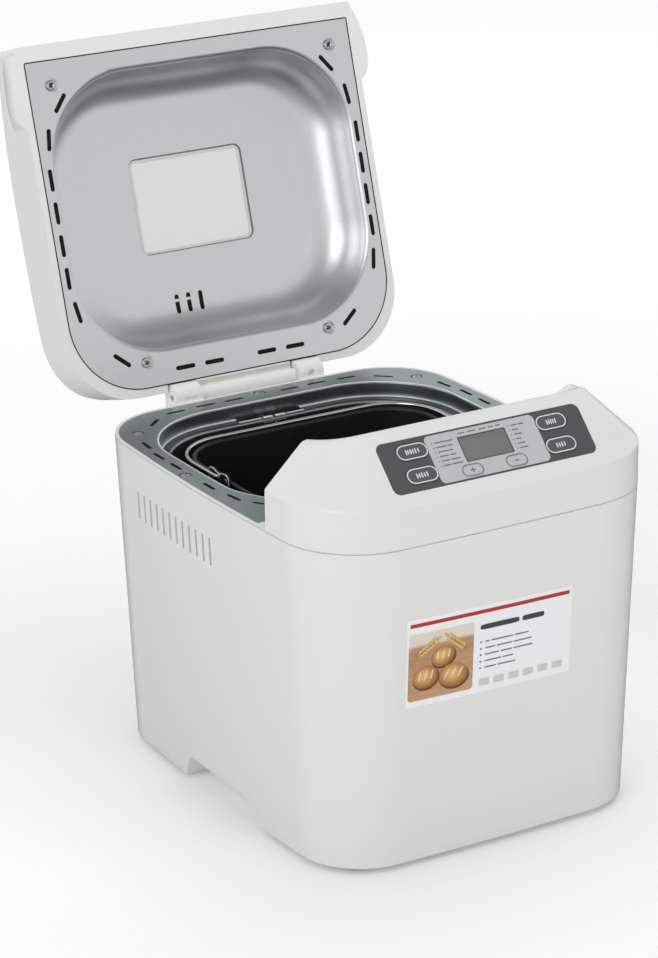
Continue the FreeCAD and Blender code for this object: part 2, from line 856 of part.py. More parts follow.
def overlay_plate(grow, low, high):
    """Rounded rectangle of the overlay in the panel's flat frame."""
    width = overlay_width + 2 * grow
    height = overlay_high - overlay_low + 2 * grow
    return round_prism(width, height, overlay_corner + grow, low, high, 0, (overlay_low + overlay_high) / 2)


def display_block(grow, low, high):
    """Display rectangle in the panel's flat frame."""
    width = display_width + 2 * grow
    height = display_high - display_low + 2 * grow
    return round_prism(width, height, 1.0 + grow, low, high, 0, (display_low + display_high) / 2)


def board_posts():
    """Places of the posts that carry the control board."""
    return [(x, y) for x in (-hood_post_x, hood_post_x) for y in hood_post_rows]


def hood_cover():
    """Moulded hood with a recess for the overlay, key and display openings and posts for the board."""
    cover = hood_form(0).cut(hood_form(wall))
    cover = cover.cut(box(-body_width, body_width, front_y - 5, hood_rear_y + 5, 0, seam_height))
    groove = Part.Face(outline(-1, seam_height - 1)).extrude(Vector(0, 0, seam_gap + 1))
    groove = groove.cut(Part.Face(outline(seam_depth, seam_height - 2)).extrude(Vector(0, 0, seam_gap + 3)))
    cover = cover.cut(groove)
    openings = [overlay_plate(seat_clearance, -overlay_thickness, 10)]
    openings.append(display_block(seat_clearance, -wall - 1, 10))
    for x, y, width, height in keys().values():
        openings.append(pill(width, height, key_clearance, -wall - 1, 10, x, y))
    posts = [rod(hood_post_radius, -board_depth, -wall + 0.2, x, y) for x, y in board_posts()]
    cover = fused([cover] + [on_panel(post) for post in posts])
    return cover.cut(on_panel(Part.makeCompound(openings)))


def control_overlay():
    """Thin overlay in the panel's recess, with openings for the keys and the display."""
    plate = overlay_plate(0, -overlay_thickness, 0)
    openings = [display_block(seat_clearance, -5, 5)]
    for x, y, width, height in keys().values():
        openings.append(pill(width, height, key_clearance, -5, 5, x, y))
    return on_panel(plate.cut(Part.makeCompound(openings)))


def key_cap(x, y, width, height):
    """Key: a cap that stands a little proud, a flange behind the panel and a stem."""
    cap = pill(width, height, 0, -wall, key_stand, x, y)
    top = [edge for edge in cap.Edges if edge.BoundBox.ZLength < 0.01 and edge.CenterOfMass.z > 0]
    cap = cap.makeFillet(key_stand * 0.8, top)
    flange = pill(width, height, 1.5, -wall - key_flange, -wall, x, y)
    stem_end = -board_depth + switch_height + key_travel + 0.1
    stem = rod(key_stem_radius, stem_end, -wall - key_flange, x, y)
    return on_panel(fused([cap, flange, stem]))


def display_window():
    """Clear window in the panel over the display."""
    return on_panel(display_block(0, -display_thickness, 0.0))


def display_module():
    """Display unit that stands on the control board behind its window."""
    bezel = display_block(0.8, -board_depth + 4, -wall - 0.4)
    carrier = display_block(0.8, -board_depth, -board_depth + 4)
    glass = display_block(-0.5, -wall - 0.4, -display_thickness - 0.2)
    return on_panel(fused([carrier, bezel, glass]))


def control_board():
    """Circuit board parallel to the panel, with a switch under each key."""
    width = 2 * (board_posts()[-1][0] + 4)
    low, high = board_posts()[0][1] - 5, board_posts()[1][1] + 4
    board = round_prism(width, high - low, 2.0, -board_depth - board_thickness, -board_depth,
                        0, (low + high) / 2)
    half = switch_size / 2
    switches = []
    for x, y, _, _ in keys().values():
        switches.append(box(x - half, x + half, y - half, y + half,
                            -board_depth, -board_depth + switch_height))
    chip = box(22, 34, 26, 38, -board_depth - board_thickness - 2, -board_depth - board_thickness)
    return on_panel(fused([board, chip] + switches))


# ---- oven ----

def deck_slots():
    """Places and headings of the deck's slots, one side of the machine."""
    return [
        (22.7, 150.5, 0), (45.5, 151.0, 0), (69.7, 149.5, -4), (93.5, 137.5, -42),
        (120.5, 98.4, -84), (123.8, 74.3, 90), (123.8, 50.4, 90), (123.9, 4.1, 90),
        (120.5, -23.5, 84), (110.2, -44.2, 55),
    ]


def deck():
    """Pressed deck inside the rim, with slots and a collar that drops into the oven."""
    sheet = body_form(wall + seat_clearance, rim_height - deck_thickness, rim_height)
    sheet = sheet.common(box(-body_width, body_width, deck_front_y, rear_y, 0, rim_height + 5))
    roll = collar_roll
    opening = round_prism(opening_width + 2 * roll, opening_length + 2 * roll, opening_front_radius + roll,
                          rim_height - 5, rim_height + 5, 0, oven_y)
    section = sheet_section([(roll + 0.5, rim_height), (0, rim_height), (0, chamber_rim)],
                            [roll], deck_thickness)
    collar = around(section, opening_width, opening_length, opening_front_radius, oven_y)
    places = deck_screw_places()
    mouths = [rod(cup_radius, rim_height - 5, rim_height + 5, x, y) for x, y in places]
    cups = [screw_cup(cup_radius, cup_depth, deck_thickness, rim_height, x, y) for x, y in places]
    sheet = fused([sheet.cut(Part.makeCompound([opening] + mouths)), collar] + cups)
    cutters = []
    for x, y, angle in deck_slots():
        cutters += both_sides(slot(deck_slot_length, deck_slot_width, x, y, angle,
                                   rim_height - 5, rim_height + 5))
    cutters += [rod(sheet_screw_hole, rim_height - 5, rim_height + 5, x, y) for x, y in places]
    return sheet.cut(Part.makeCompound(cutters))


def deck_screws():
    """Pan-head screws in the deck's cups."""
    one = screw(screw_head_radius, sheet_screw_height, sheet_shank_radius, screw_length)
    return [moved(one, x, y, rim_height - cup_depth) for x, y in deck_screw_places()]


def chamber():
    """Baking chamber: a wrapped wall with a flange under the deck's collar and a rounded floor."""
    flange = (opening_width - chamber_width) / 2 + 1.5
    section = sheet_section(
        [(flange, chamber_rim), (0, chamber_rim), (0, chamber_inside), (-30, chamber_inside)],
        [2.5, chamber_bottom_radius], chamber_thickness)
    walls = around(section, chamber_width, chamber_length, chamber_radius, oven_y)
    floor_plate = round_prism(chamber_width - 58, chamber_length - 58, chamber_radius - 29,
                              chamber_floor, chamber_inside, 0, oven_y)
    seam_y = oven_y + chamber_length / 2
    outside = seam_y + chamber_thickness
    shell = fused([walls, floor_plate]).cut(box(
        flange_gap_low_x, flange_gap_high_x, outside, outside + 20, chamber_rim - 5, chamber_rim + 1))
    half = strap_width / 2
    strap = box(-half, half, seam_y - 1.2, seam_y + 0.5, heater_height + 10, chamber_rim - 4)
    tabs = [box(x, x + half + 2, seam_y - 1.2, outside + 2.5, chamber_rim - 4, chamber_rim - 2.8)
            for x in (-half - 3, 1)]
    shell = fused([shell, strap] + tabs)
    front = oven_y - chamber_length / 2
    holes = [rod(bearing_radius + 0.3, 0, 200, 0, oven_y)]
    for x in (-heater_leg_x, heater_leg_x):
        holes.append(Part.makeCylinder(bushing_radius + 0.1, 20, Vector(x, front - 10, heater_height),
                                       Vector(0, 1, 0)))
    holes.append(Part.makeCylinder(sensor_radius + 0.1, 20, Vector(sensor_x, front - 10, sensor_height),
                                   Vector(0, 1, 0)))
    return shell.cut(Part.makeCompound(holes))


def heater_path():
    """Centre line of the heater: two legs through the front wall and a ring inside the chamber."""
    x = chamber_width / 2 - heater_wall_gap
    front = oven_y - chamber_length / 2 + heater_wall_gap
    back = oven_y + chamber_length / 2 - heater_wall_gap
    leg_end = front - heater_wall_gap - 15
    plan = [(-heater_leg_x, leg_end), (-heater_leg_x, front), (-x, front), (-x, back),
            (x, back), (x, front), (heater_leg_x, front), (heater_leg_x, leg_end)]
    corner = chamber_radius - heater_wall_gap
    radii = [heater_turn_radius] + [corner] * 4 + [heater_turn_radius]
    return [Vector(px, py, heater_height) for px, py in plan], radii


def heater():
    """Tubular heater element with its two terminal pins."""
    points, radii = heater_path()
    element = tube(points, radii, heater_radius)
    pins = []
    for end in (points[0], points[-1]):
        pins.append(Part.makeCylinder(1.5, 10, end + Vector(0, 1, 0), Vector(0, -1, 0)))
    return fused([element] + pins)


def heater_clips():
    """Clips on the chamber wall that hold the heater."""
    points, _ = heater_path()
    x, back, front = points[4].x, points[4].y, points[1].y
    reach = heater_wall_gap
    half, grip = clip_half, heater_radius + 1.5
    low, high = heater_height - grip, heater_height + grip
    blocks = both_sides(box(x - grip, x + reach, oven_y - half, oven_y + half, low, high))
    blocks.append(box(-half, half, back - grip, back + reach, low, high))
    blocks += both_sides(box(clip_x - half, clip_x + half, front - reach, front + grip, low, high))
    element = tube(points, heater_path()[1], heater_radius)
    return [block.cut(element) for block in blocks]


def heater_bushings():
    """Ceramic bushings where the heater's legs pass the chamber wall."""
    front = oven_y - chamber_length / 2
    axis = Vector(0, 1, 0)
    pieces = []
    for x in (-heater_leg_x, heater_leg_x):
        neck = Part.makeCylinder(bushing_radius, 5.0, Vector(x, front - 4.0, heater_height), axis)
        collar = Part.makeCylinder(
            bushing_radius + 2, 3, Vector(x, front - chamber_thickness - 3, heater_height), axis)
        bore = Part.makeCylinder(heater_radius + 0.02, 20, Vector(x, front - 10, heater_height), axis)
        pieces.append(fused([neck, collar]).cut(bore))
    return pieces


def temperature_sensor():
    """Probe through the chamber's front wall, with a flange outside it."""
    front = oven_y - chamber_length / 2
    axis = Vector(0, 1, 0)
    probe = Part.makeCylinder(sensor_radius, 22, Vector(sensor_x, front - 12, sensor_height), axis)
    flange = Part.makeCylinder(sensor_radius + 4, 2,
                               Vector(sensor_x, front - chamber_thickness - 2, sensor_height), axis)
    return fused([probe, flange])


# ---- drive ----

def drive_frame():
    """Plate that carries the motor and the bearing housing on the base plate's posts."""
    shaft, motor = Vector(0, oven_y, frame_height), Vector(motor_x, motor_y, frame_height)
    face = Part.Face(loop_wire(shaft, frame_shaft_radius, motor, frame_motor_radius))
    plate = face.extrude(Vector(0, 0, frame_thickness))
    holes = [rod(drive_shaft_radius + 2, 0, 100, 0, oven_y)]
    holes.append(rod(motor_shaft_radius + 2, 0, 100, motor_x, motor_y))
    holes += [rod(frame_screw_hole, 0, 100, x, y) for x, y in frame_posts()]
    holes.append(round_prism(24, 40, 6, 0, 100, motor_x / 2 - 4, (oven_y + motor_y) / 2))
    return plate.cut(Part.makeCompound(holes))


def frame_screws():
    """Screws that hold the drive frame on its posts."""
    one = screw(screw_head_radius, screw_head_height, screw_shank_radius, screw_length)
    return [moved(one, x, y, frame_top) for x, y in frame_posts()]


def bearing_housing():
    """Bearing tower between the drive frame and the chamber floor."""
    foot_part = rod(bearing_foot_radius, frame_top, chamber_floor, 0, oven_y)
    tower = rod(bearing_radius, chamber_floor, bearing_top, 0, oven_y)
    bore = rod(drive_shaft_radius + shaft_clearance, 0, 100, 0, oven_y)
    return fused([foot_part, tower]).cut(bore)


def drive_shaft():
    """Shaft from the large pulley up to the coupling."""
    return rod(drive_shaft_radius, pulley_top - pulley_height - 3, coupling_top, 0, oven_y)


def dogs(low, high, spread):
    """Two ring sectors that stand on a coupling, across X."""
    sector = Part.makeCylinder(dog_outer_radius, high - low, Vector(0, 0, low), Vector(0, 0, 1), spread)
    sector = sector.cut(rod(dog_inner_radius, low - 1, high + 1))
    return [turned(sector, -spread / 2), turned(sector, 180 - spread / 2)]


def drive_coupling():
    """Lower half of the pan coupling: a disc with two upright dogs, pressed on the drive shaft."""
    disc = rod(dog_outer_radius, coupling_low, coupling_top)
    coupling = fused([disc] + dogs(coupling_top - 0.5, coupling_top + dog_height, 50))
    coupling = coupling.cut(rod(drive_shaft_radius, coupling_low - 1, coupling_top + 1))
    return moved(coupling, 0, oven_y)


def pulley(radius, hub_radius, bore, spokes, x, y):
    """Flat-belt pulley: a rim between low flanges, a web with round openings and a hub."""
    low = pulley_top - pulley_height
    edge = (pulley_height - belt_width) / 2 - 0.3
    body = rod(radius, low, pulley_top)
    flanges = [rod(radius + 1.5, low, low + edge), rod(radius + 1.5, pulley_top - edge, pulley_top)]
    wheel = fused([body] + flanges)
    if spokes:
        web_low, web_high = low + 4, pulley_top - 4
        for z_low, z_high in ((low - 1, web_low), (web_high, pulley_top + 1)):
            wheel = wheel.cut(ring(radius - 4, hub_radius, z_low, z_high))
        hole = (radius - 4 - hub_radius) / 2
        for index in range(spokes):
            turn = 2 * math.pi * index / spokes
            reach = (radius - 4 + hub_radius) / 2
            wheel = wheel.cut(rod(hole - 3, 0, 100, reach * math.cos(turn), reach * math.sin(turn)))
    return moved(wheel.cut(rod(bore, 0, 100)), x, y)


def belt():
    """Flat belt round both pulleys."""
    shaft, motor = Vector(0, oven_y, 0), Vector(motor_x, motor_y, 0)
    outer = drive_pulley_radius + belt_clearance + belt_thickness
    inner = drive_pulley_radius + belt_clearance
    small_outer = motor_pulley_radius + belt_clearance + belt_thickness
    small_inner = motor_pulley_radius + belt_clearance
    low = pulley_top - (pulley_height + belt_width) / 2
    outside = Part.Face(loop_wire(shaft, outer, motor, small_outer)).extrude(Vector(0, 0, belt_width))
    inside = Part.Face(loop_wire(shaft, inner, motor, small_inner)).extrude(Vector(0, 0, belt_width))
    return moved(outside.cut(inside), 0, 0, low)


def motor():
    """Motor can with its end bell, standing on the drive frame."""
    can = rod(motor_radius, frame_top, frame_top + motor_length)
    top = [edge for edge in can.Edges if abs(edge.CenterOfMass.z - frame_top - motor_length) < 0.01]
    can = can.makeFillet(4.0, top[:1])
    bell = rod(motor_radius * 0.4, frame_top + motor_length - 1, frame_top + motor_length + 6)
    lugs = [box(-motor_radius - 5, motor_radius + 5, -6, 6, frame_top, frame_top + 4)]
    body = fused([can, bell] + lugs)
    bore = rod(motor_shaft_radius + shaft_clearance, frame_top - 1, frame_top + motor_length + 2)
    return moved(turned(body.cut(bore), 45), motor_x, motor_y)


def motor_shaft():
    """Shaft of the motor, held in the can."""
    return rod(motor_shaft_radius, pulley_top - pulley_height - 2, frame_top + motor_length, motor_x, motor_y)


def motor_capacitor():
    """Run capacitor, upright on the base plate."""
    top = base_high + capacitor_height
    can = rod(capacitor_radius, base_high, top, capacitor_x, capacitor_y)
    can = can.makeFillet(1.5, [edge for edge in can.Edges if abs(edge.CenterOfMass.z - top) < 0.01][:1])
    pins = [box(x - 0.5, x + 0.5, capacitor_y - 3, capacitor_y + 3, top - 1, top + 7)
            for x in (capacitor_x - 5.5, capacitor_x + 5.5)]
    return fused([can] + pins)


def power_board_places():
    """Plan positions of the power board's posts."""
    return [(x, y) for x in (board_x_low + 5, board_x_high - 5) for y in (board_y_low + 5, board_y_high - 5)]


def power_board_posts():
    """Posts of the base plate under the power board."""
    return [rod(3.5, base_high, base_high + board_rise, x, y) for x, y in power_board_places()]


def power_board():
    """Power board with its transformer, relay and fuse blocks."""
    low = base_high + board_rise
    top = low + 1.6
    plate = box(board_x_low, board_x_high, board_y_low, board_y_high, low, top)
    transformer = box(board_x_low + 8, board_x_low + 36, board_y_low + 12, board_y_low + 40, top, top + 24)
    relay = box(board_x_high - 32, board_x_high - 12, board_y_low + 10, board_y_low + 26, top, top + 16)
    terminals = box(board_x_high - 34, board_x_high - 6, board_y_high - 24, board_y_high - 14, top, top + 10)
    return fused([plate, transformer, relay, terminals])


# ---- pan ----

def pan_band():
    """Thick band that fills the pan's outside, without its bead."""
    section = Part.makePolygon([
        Vector(-30, 0, pan_floor), Vector(pan_wall_top - pan_draft, 0, pan_floor),
        Vector(pan_wall_top, 0, pan_rim_height - pan_bead_radius),
        Vector(-30, 0, pan_rim_height - pan_bead_radius), Vector(-30, 0, pan_floor)])
    return around(Part.Face(section), pan_width, pan_length, pan_radius, oven_y)


def pan():
    """Bread pan: leaning walls with a beaded rim, a rounded bottom edge and a hole for the shaft's bush."""
    section = sheet_section([
        (-34, pan_floor), (pan_wall_top - pan_draft, pan_floor),
        (pan_wall_top, pan_rim_height - pan_bead_radius),
    ], [pan_bottom_radius], pan_thickness)
    walls = around(section, pan_width, pan_length, pan_radius, oven_y)
    bead_section = Part.Face(Part.Wire(Part.makeCircle(
        pan_bead_radius, Vector(-pan_bead_radius, 0, pan_rim_height - pan_bead_radius), Vector(0, 1, 0))))
    bead = around(bead_section, pan_width, pan_length, pan_radius, oven_y)
    floor_plate = round_prism(pan_width - 66, pan_length - 66, pan_radius - 33, pan_floor,
                              pan_floor + pan_thickness, 0, oven_y)
    return fused([walls, bead, floor_plate]).cut(rod(bush_radius - 2, 0, 300, 0, oven_y))


def pan_base_ring():
    """Skirt under the pan that stands on the seat in the chamber."""
    return ring(base_ring_radius, base_ring_radius - base_ring_wall, seat_top, pan_floor, 0, oven_y)


def pan_seat():
    """Seat on the chamber floor: a plate with a raised lip and two springy catches round the base ring."""
    plate = ring(base_ring_radius + 6, bearing_radius + 5, chamber_inside, seat_top, 0, oven_y)
    lip = ring(base_ring_radius + 3, base_ring_radius + 0.6, seat_top - 0.5, seat_top + 4, 0, oven_y)
    catches = []
    for side in (-1, 1):
        x = side * (base_ring_radius + 4)
        catches.append(box(x - 1, x + 1, oven_y - 8, oven_y + 8, seat_top - 0.5, seat_top + 9))
    return fused([plate, lip] + catches)


def pan_bush():
    """Bush in the pan's floor for the paddle shaft."""
    flange = rod(bush_radius + 5, pan_floor - bush_flange, pan_floor)
    neck = rod(bush_radius - 2, pan_floor - 1, pan_floor + pan_thickness + 0.5)
    tower = Part.makeCone(bush_radius, bush_radius - 2, bush_rise - pan_thickness,
                          Vector(0, 0, pan_floor + pan_thickness))
    bush = fused([flange, neck, tower]).cut(rod(pan_shaft_radius + shaft_clearance, 0, 200))
    return moved(bush, 0, oven_y)


def pan_shaft():
    """Paddle shaft through the pan's bush."""
    return rod(pan_shaft_radius, wing_low + coupling_disc, pan_floor + bush_rise + 16, 0, oven_y)


def pan_coupling():
    """Upper half of the coupling: two wings that sit between the dogs."""
    hub = rod(dog_inner_radius - 1.5, wing_low, pan_floor - bush_flange - running_gap)
    wings = box(-3, 3, -dog_outer_radius + 0.5, dog_outer_radius - 0.5, wing_low, wing_low + dog_height - 1)
    coupling = fused([hub, wings]).cut(rod(pan_shaft_radius, wing_low + coupling_disc, 200))
    return moved(coupling, 0, oven_y)


def paddle():
    """Kneading paddle: a hub on the shaft and one tall, raked blade."""
    low = pan_floor + bush_rise + running_gap
    hub = Part.makeCone(10.0, 7.0, 20, Vector(0, 0, low))
    sections = []
    for reach, height, half, rake in ((4, 17, 3.2, 0), (24, 24, 2.4, 4), (44, 10, 1.4, 9)):
        corners = [
            Vector(reach, -half, low + 0.6), Vector(reach, half, low + 0.6),
            Vector(reach, half * 0.7 + rake, low + height),
            Vector(reach, -half * 0.7 + rake, low + height),
        ]
        sections.append(Part.makePolygon(corners + corners[:1]))
    blade = Part.makeLoft(sections, True, False)
    return moved(fused([hub, blade]).cut(rod(pan_shaft_radius, 0, 200)), 0, oven_y)


def ear_outer_x():
    """Outer face of the bail's ears."""
    return pan_width / 2 + 0.3 + ear_thickness


def handle_ears():
    """Two brackets on the pan's side walls that carry the bail, with their rivets."""
    x = ear_outer_x()
    half = ear_length / 2
    plate = box(x - ear_thickness, x, oven_y - half, oven_y + half,
                pan_rim_height - 20, bail_height + ear_rise)
    across = [edge for edge in plate.Edges if edge.BoundBox.XLength > 1]
    plate = plate.makeFillet(4.0, across)
    saddle = cross_rod(half, 0, x + 5, oven_y, bail_height + ear_rise + half - 1.4)
    pad = box(x - 8, x - ear_thickness / 2, oven_y - half + 4, oven_y + half - 4,
              pan_rim_height - 18, pan_rim_height - 5)
    ear = fused([plate, pad]).cut(pan_band()).cut(saddle)
    ear = ear.cut(cross_rod(bail_radius + 0.1, 0, x + 5, oven_y, bail_height))
    heads = []
    for offset in (-half + 4, half - 4):
        heads.append(cross_rod(2.0, x - 8, x + 0.8, oven_y + offset, pan_rim_height - 13).cut(pan_band()))
    stud = cross_rod(1.2, x - 1, x + 0.8, oven_y - half + 4, bail_height - 0.8)
    return both_sides(fused([ear, stud] + heads))


def bail_handle():
    """Wire bail: pins in the ears, two legs and a bar along the rear of the rim."""
    x = ear_outer_x() + bail_gap + bail_radius
    inner = ear_outer_x() - ear_thickness - 0.8
    back = oven_y + pan_length / 2
    points = [Vector(px, py, bail_height) for px, py in (
        (-inner, oven_y), (-x, oven_y), (-x, back), (x, back), (x, oven_y), (inner, oven_y))]
    corner = bail_radius + 0.4
    return tube(points, [corner, bail_corner, bail_corner, corner], bail_radius)


# ---- lid, drawn closed ----

def lid_stations():
    """Top of the lid along its depth: place, side wall height, ear place, ear height and middle height."""
    top = lid_top
    return [
        (lid_front_y, top - 36, 108.0, top - 13, top - 17),
        (-60.0, top - 29, 112.0, top - 12, top - 14),
        (-20.0, top - 23, 118.0, top - 11, top - 11),
        (60.0, top - 22, 120.0, top - 10, top - 9),
        (130.0, top - 27, 117.0, top - 14, top - 13),
        (lid_rear_y, top - 37, 108.0, top - 24, top - 23),
    ]


def lid_form(inset, low):
    """Solid of the lid drawn in on every side: a lofted top over the plan's rounded outline."""
    sections = []
    for y, side, ear_x, ear, middle in lid_stations():
        half = body_width / 2
        slope = (ear - side) / (half - ear_x)
        far = half + 20
        ear_in, drop = ear_x - inset * 0.4, inset
        outer = Vector(far, y, side - drop - slope * 20 - inset * 0.6)
        ear_point = Vector(ear_in, y, ear - drop)
        mid = Vector(0, y, middle - drop)
        left_ear = Vector(-ear_in, y, ear - drop)
        left = Vector(-far, y, outer.z)
        arc = Part.Arc(ear_point, mid, left_ear).toShape() if abs(ear - middle) > 0.01 else None
        top_edge = arc or Part.LineSegment(ear_point, left_ear).toShape()
        sections.append(Part.Wire([
            Part.LineSegment(Vector(-far, y, low), Vector(far, y, low)).toShape(),
            Part.LineSegment(Vector(far, y, low), outer).toShape(),
            Part.LineSegment(outer, ear_point).toShape(),
            top_edge,
            Part.LineSegment(left_ear, left).toShape(),
            Part.LineSegment(left, Vector(-far, y, low)).toShape(),
        ]))
    loft = Part.makeLoft(sections, True, False)
    return loft.common(lid_plan(inset, low, lid_top + 10))


def lid_outside():
    """The lid's outer form with its two ear lines and the edge of its top rounded."""
    solid = lid_form(0, hinge_z)
    depth = lid_rear_y - lid_front_y
    for radius, along in ((lid_ear_rounding, True), (lid_edge_rounding, False)):
        edges = [
            edge for edge in solid.Edges
            if edge.BoundBox.ZMin > hinge_z + lid_crown / 4 and edge.CenterOfMass.y > lid_front_y + 1
            and (edge.BoundBox.YLength > 0.9 * depth) == along
        ]
        solid = solid.makeFillet(radius, edges)
    return solid


def lid_plan(inset, low, high):
    """Prism over the lid's plan: sharp front corners, rounded rear corners."""
    return bay_prism(body_width / 2 - inset, lid_front_y + inset, lid_rear_y - inset,
                     max(lid_front_radius - inset, 0.5), lid_rear_radius - inset, low, high)


def liner_plan(grow, low, high):
    """Prism over the liner's margin, grown on every side."""
    return bay_prism(body_width / 2 - liner_side_margin + grow, lid_front_y + liner_front_margin - grow,
                     liner_rear_y + grow, max(liner_front_radius + grow, 0.5), liner_rear_radius + grow,
                     low, high)


def window_prism(grow, low, high):
    """Prism over the lid's window."""
    return round_prism(window_width + 2 * grow, window_length + 2 * grow, window_radius + grow, low, high,
                       0, oven_y - window_forward)


def lid_side_grip():
    """Swelling on a side of the lid for the fingers."""
    inner = body_width / 2 - 4
    front, rear = lid_front_y + grip_front_gap, lid_front_y + grip_front_gap + grip_length
    sections = []
    for rise, reach in ((0, grip_reach), (grip_height * 0.4, grip_reach * 0.85), (grip_height, 0.6)):
        height = hinge_z + rise
        edge = Part.BezierCurve()
        edge.setPoles([
            Vector(inner + 3, front, height),
            Vector(inner + 4 + reach * 1.05, front + grip_length * 0.3, height),
            Vector(inner + 4 + reach * 1.45, rear - grip_length * 0.06, height),
            Vector(inner + 3, rear, height),
        ])
        sections.append(Part.Wire([
            edge.toShape(),
            Part.LineSegment(Vector(inner + 3, rear, height), Vector(inner, rear, height)).toShape(),
            Part.LineSegment(Vector(inner, rear, height), Vector(inner, front, height)).toShape(),
            Part.LineSegment(Vector(inner, front, height), Vector(inner + 3, front, height)).toShape(),
        ]))
    return Part.makeLoft(sections, True, False)


def lid_shell():
    """Moulded outer lid with side grips, a window opening and a notch round the hinge."""
    shell = lid_outside().cut(lid_form(lid_wall, hinge_z - 5))
    inside = lid_wall / 2
    rim = lid_plan(inside, hinge_z, hinge_z + lid_rim_thickness)
    rim = rim.cut(liner_plan(2 * seat_clearance, hinge_z - 1, hinge_z + liner_thickness))
    rim = rim.cut(liner_plan(-liner_shelf, hinge_z - 1, hinge_z + 10))
    grips = both_sides(lid_side_grip().cut(lid_plan(inside, hinge_z - 5, lid_top)))
    shell = fused([shell, rim] + grips)
    shell = shell.cut(window_prism(-window_ledge, hinge_z, lid_top + 5))
    lens_bed = window_prism(seat_clearance, hinge_z, lid_top + 5).cut(lid_form(lens_thickness, hinge_z - 5))
    notch = box(knuckle_inner_x - notch_side_gap, knuckle_outer_x + notch_side_gap,
                liner_rear_y + 2 * seat_clearance - 0.1, lid_rear_y + 5, hinge_z - 1, hinge_z + notch_rise)
    return shell.cut(Part.makeCompound([lens_bed] + both_sides(notch)))


def outer_lens():
    """Clear lens that follows the lid's top over the window."""
    skin = lid_form(0, hinge_z).cut(lid_form(lens_thickness, hinge_z - 5))
    return skin.common(window_prism(0, dish_top, lid_top + 5))


def liner_slots():
    """Places and headings of the liner's slots, one side."""
    return [
        (124.0, 9.0, 90), (124.0, 32.0, 90), (124.0, 55.0, 90), (124.0, 78.0, 90),
        (120.6, -18.7, 82), (121.0, 102.3, -80), (107.5, -42.7, 52),
        (21.5, 153.8, 0), (45.0, 153.8, 0), (93.4, 141.1, -40),
    ]


def lid_screw_places():
    """Plan positions of the liner's screws."""
    front, rear = (liner_screw_front_x, liner_screw_front_y), (liner_screw_rear_x, liner_screw_rear_y)
    return [(side * x, y) for x, y in (front, rear) for side in (1, -1)]


def lid_liner():
    """Pressed steel liner: a flat margin with slots and a deep coved dish with the window opening."""
    margin = liner_plan(0, hinge_z, hinge_z + liner_thickness)
    roll = dish_roll
    mouth = round_prism(dish_width + 2 * roll, dish_length + 2 * roll, dish_radius + roll,
                        hinge_z - 5, hinge_z + 5, 0, oven_y)
    section = sheet_section([(-dish_cove - 8, dish_top), (0, dish_top), (0, hinge_z), (roll + 0.5, hinge_z)],
                            [dish_cove, roll], liner_thickness)
    dish = around(section, dish_width, dish_length, dish_radius, oven_y)
    inset = dish_cove + 7.5
    crown = round_prism(dish_width - 2 * inset, dish_length - 2 * inset, dish_radius - inset,
                        dish_top, dish_top + liner_thickness, 0, oven_y)
    places = lid_screw_places()
    mouths = [rod(liner_cup_radius, hinge_z - 5, hinge_z + 5, x, y) for x, y in places]
    cups = [turned(screw_cup(liner_cup_radius, cup_depth, liner_thickness, 0, 0, 0), 180, Vector(1, 0, 0))
            for _ in places]
    cups = [moved(cup, x, y, hinge_z) for cup, (x, y) in zip(cups, places)]
    liner = fused([margin.cut(Part.makeCompound([mouth] + mouths)), dish, crown] + cups)
    liner = liner.cut(window_prism(0, hinge_z, lid_top))
    cutters = []
    for x, y, angle in liner_slots():
        cutters += both_sides(slot(liner_slot_length, liner_slot_width, x, y, angle,
                                   hinge_z - 5, hinge_z + 3))
    for x in steam_slot_columns:
        cutters.append(slot(steam_slot_length, steam_slot_width, x, oven_y + steam_slot_back, 90,
                            dish_top - 20, dish_top + 5))
    cutters += [rod(sheet_screw_hole, hinge_z - 5, hinge_z + 5, x, y) for x, y in places]
    return liner.cut(Part.makeCompound(cutters))


def lid_screws():
    """Pan-head screws through the liner, heads down when the lid is shut."""
    one = screw(lid_screw_head_radius, sheet_screw_height, sheet_shank_radius, screw_length)
    one = turned(one, 180, Vector(1, 0, 0))
    return [moved(one, x, y, hinge_z + cup_depth) for x, y in lid_screw_places()]


def inner_pane():
    """Glass pane over the dish's window opening."""
    low = dish_top + liner_thickness
    return window_prism(pane_lap, low, low + pane_thickness)


def window_gasket():
    """Gasket between the inner pane and the lid's top round the window."""
    low = dish_top + liner_thickness + pane_thickness
    tall = window_prism(pane_lap, low, lid_top)
    tall = tall.cut(window_prism(pane_lap - gasket_width, low - 1, lid_top + 1))
    return tall.common(lid_form(lid_wall, hinge_z))


def hinge_knuckles():
    """Two knuckles on the rear wall, bored for the pins."""
    radius = hinge_y - liner_rear_y - knuckle_swing_gap
    barrel = cross_rod(radius, knuckle_inner_x, knuckle_outer_x, hinge_y, hinge_z)
    root = box(knuckle_inner_x, knuckle_outer_x, rear_y - 4, hinge_y + radius,
               hinge_z - knuckle_root_height, hinge_z)
    heel = [edge for edge in root.Edges if edge.BoundBox.XLength > 1
            and edge.CenterOfMass.y > hinge_y and edge.CenterOfMass.z < hinge_z - 10]
    block = fused([barrel, root.makeFillet(radius, heel)])
    front = rear_y + 1.5
    block = block.cut(body_form(0, rim_height - 60, rim_height))
    block = block.cut(box(0, 100, 0, front, rim_height - 0.2, hinge_z + 20))
    block = block.cut(cross_rod(hinge_pin_radius + shaft_clearance, 0, 100, hinge_y, hinge_z))
    left_slot = box(-knuckle_outer_x + 6, -knuckle_inner_x - 5, front - 1, front + 1.5,
                    hinge_z, hinge_z + 2.4)
    right_pocket = box(knuckle_inner_x + 7, knuckle_inner_x + 12, front - 1, front + 3,
                       hinge_z, hinge_z + 4)
    return [mirrored(block).cut(left_slot), block.cut(right_pocket)]


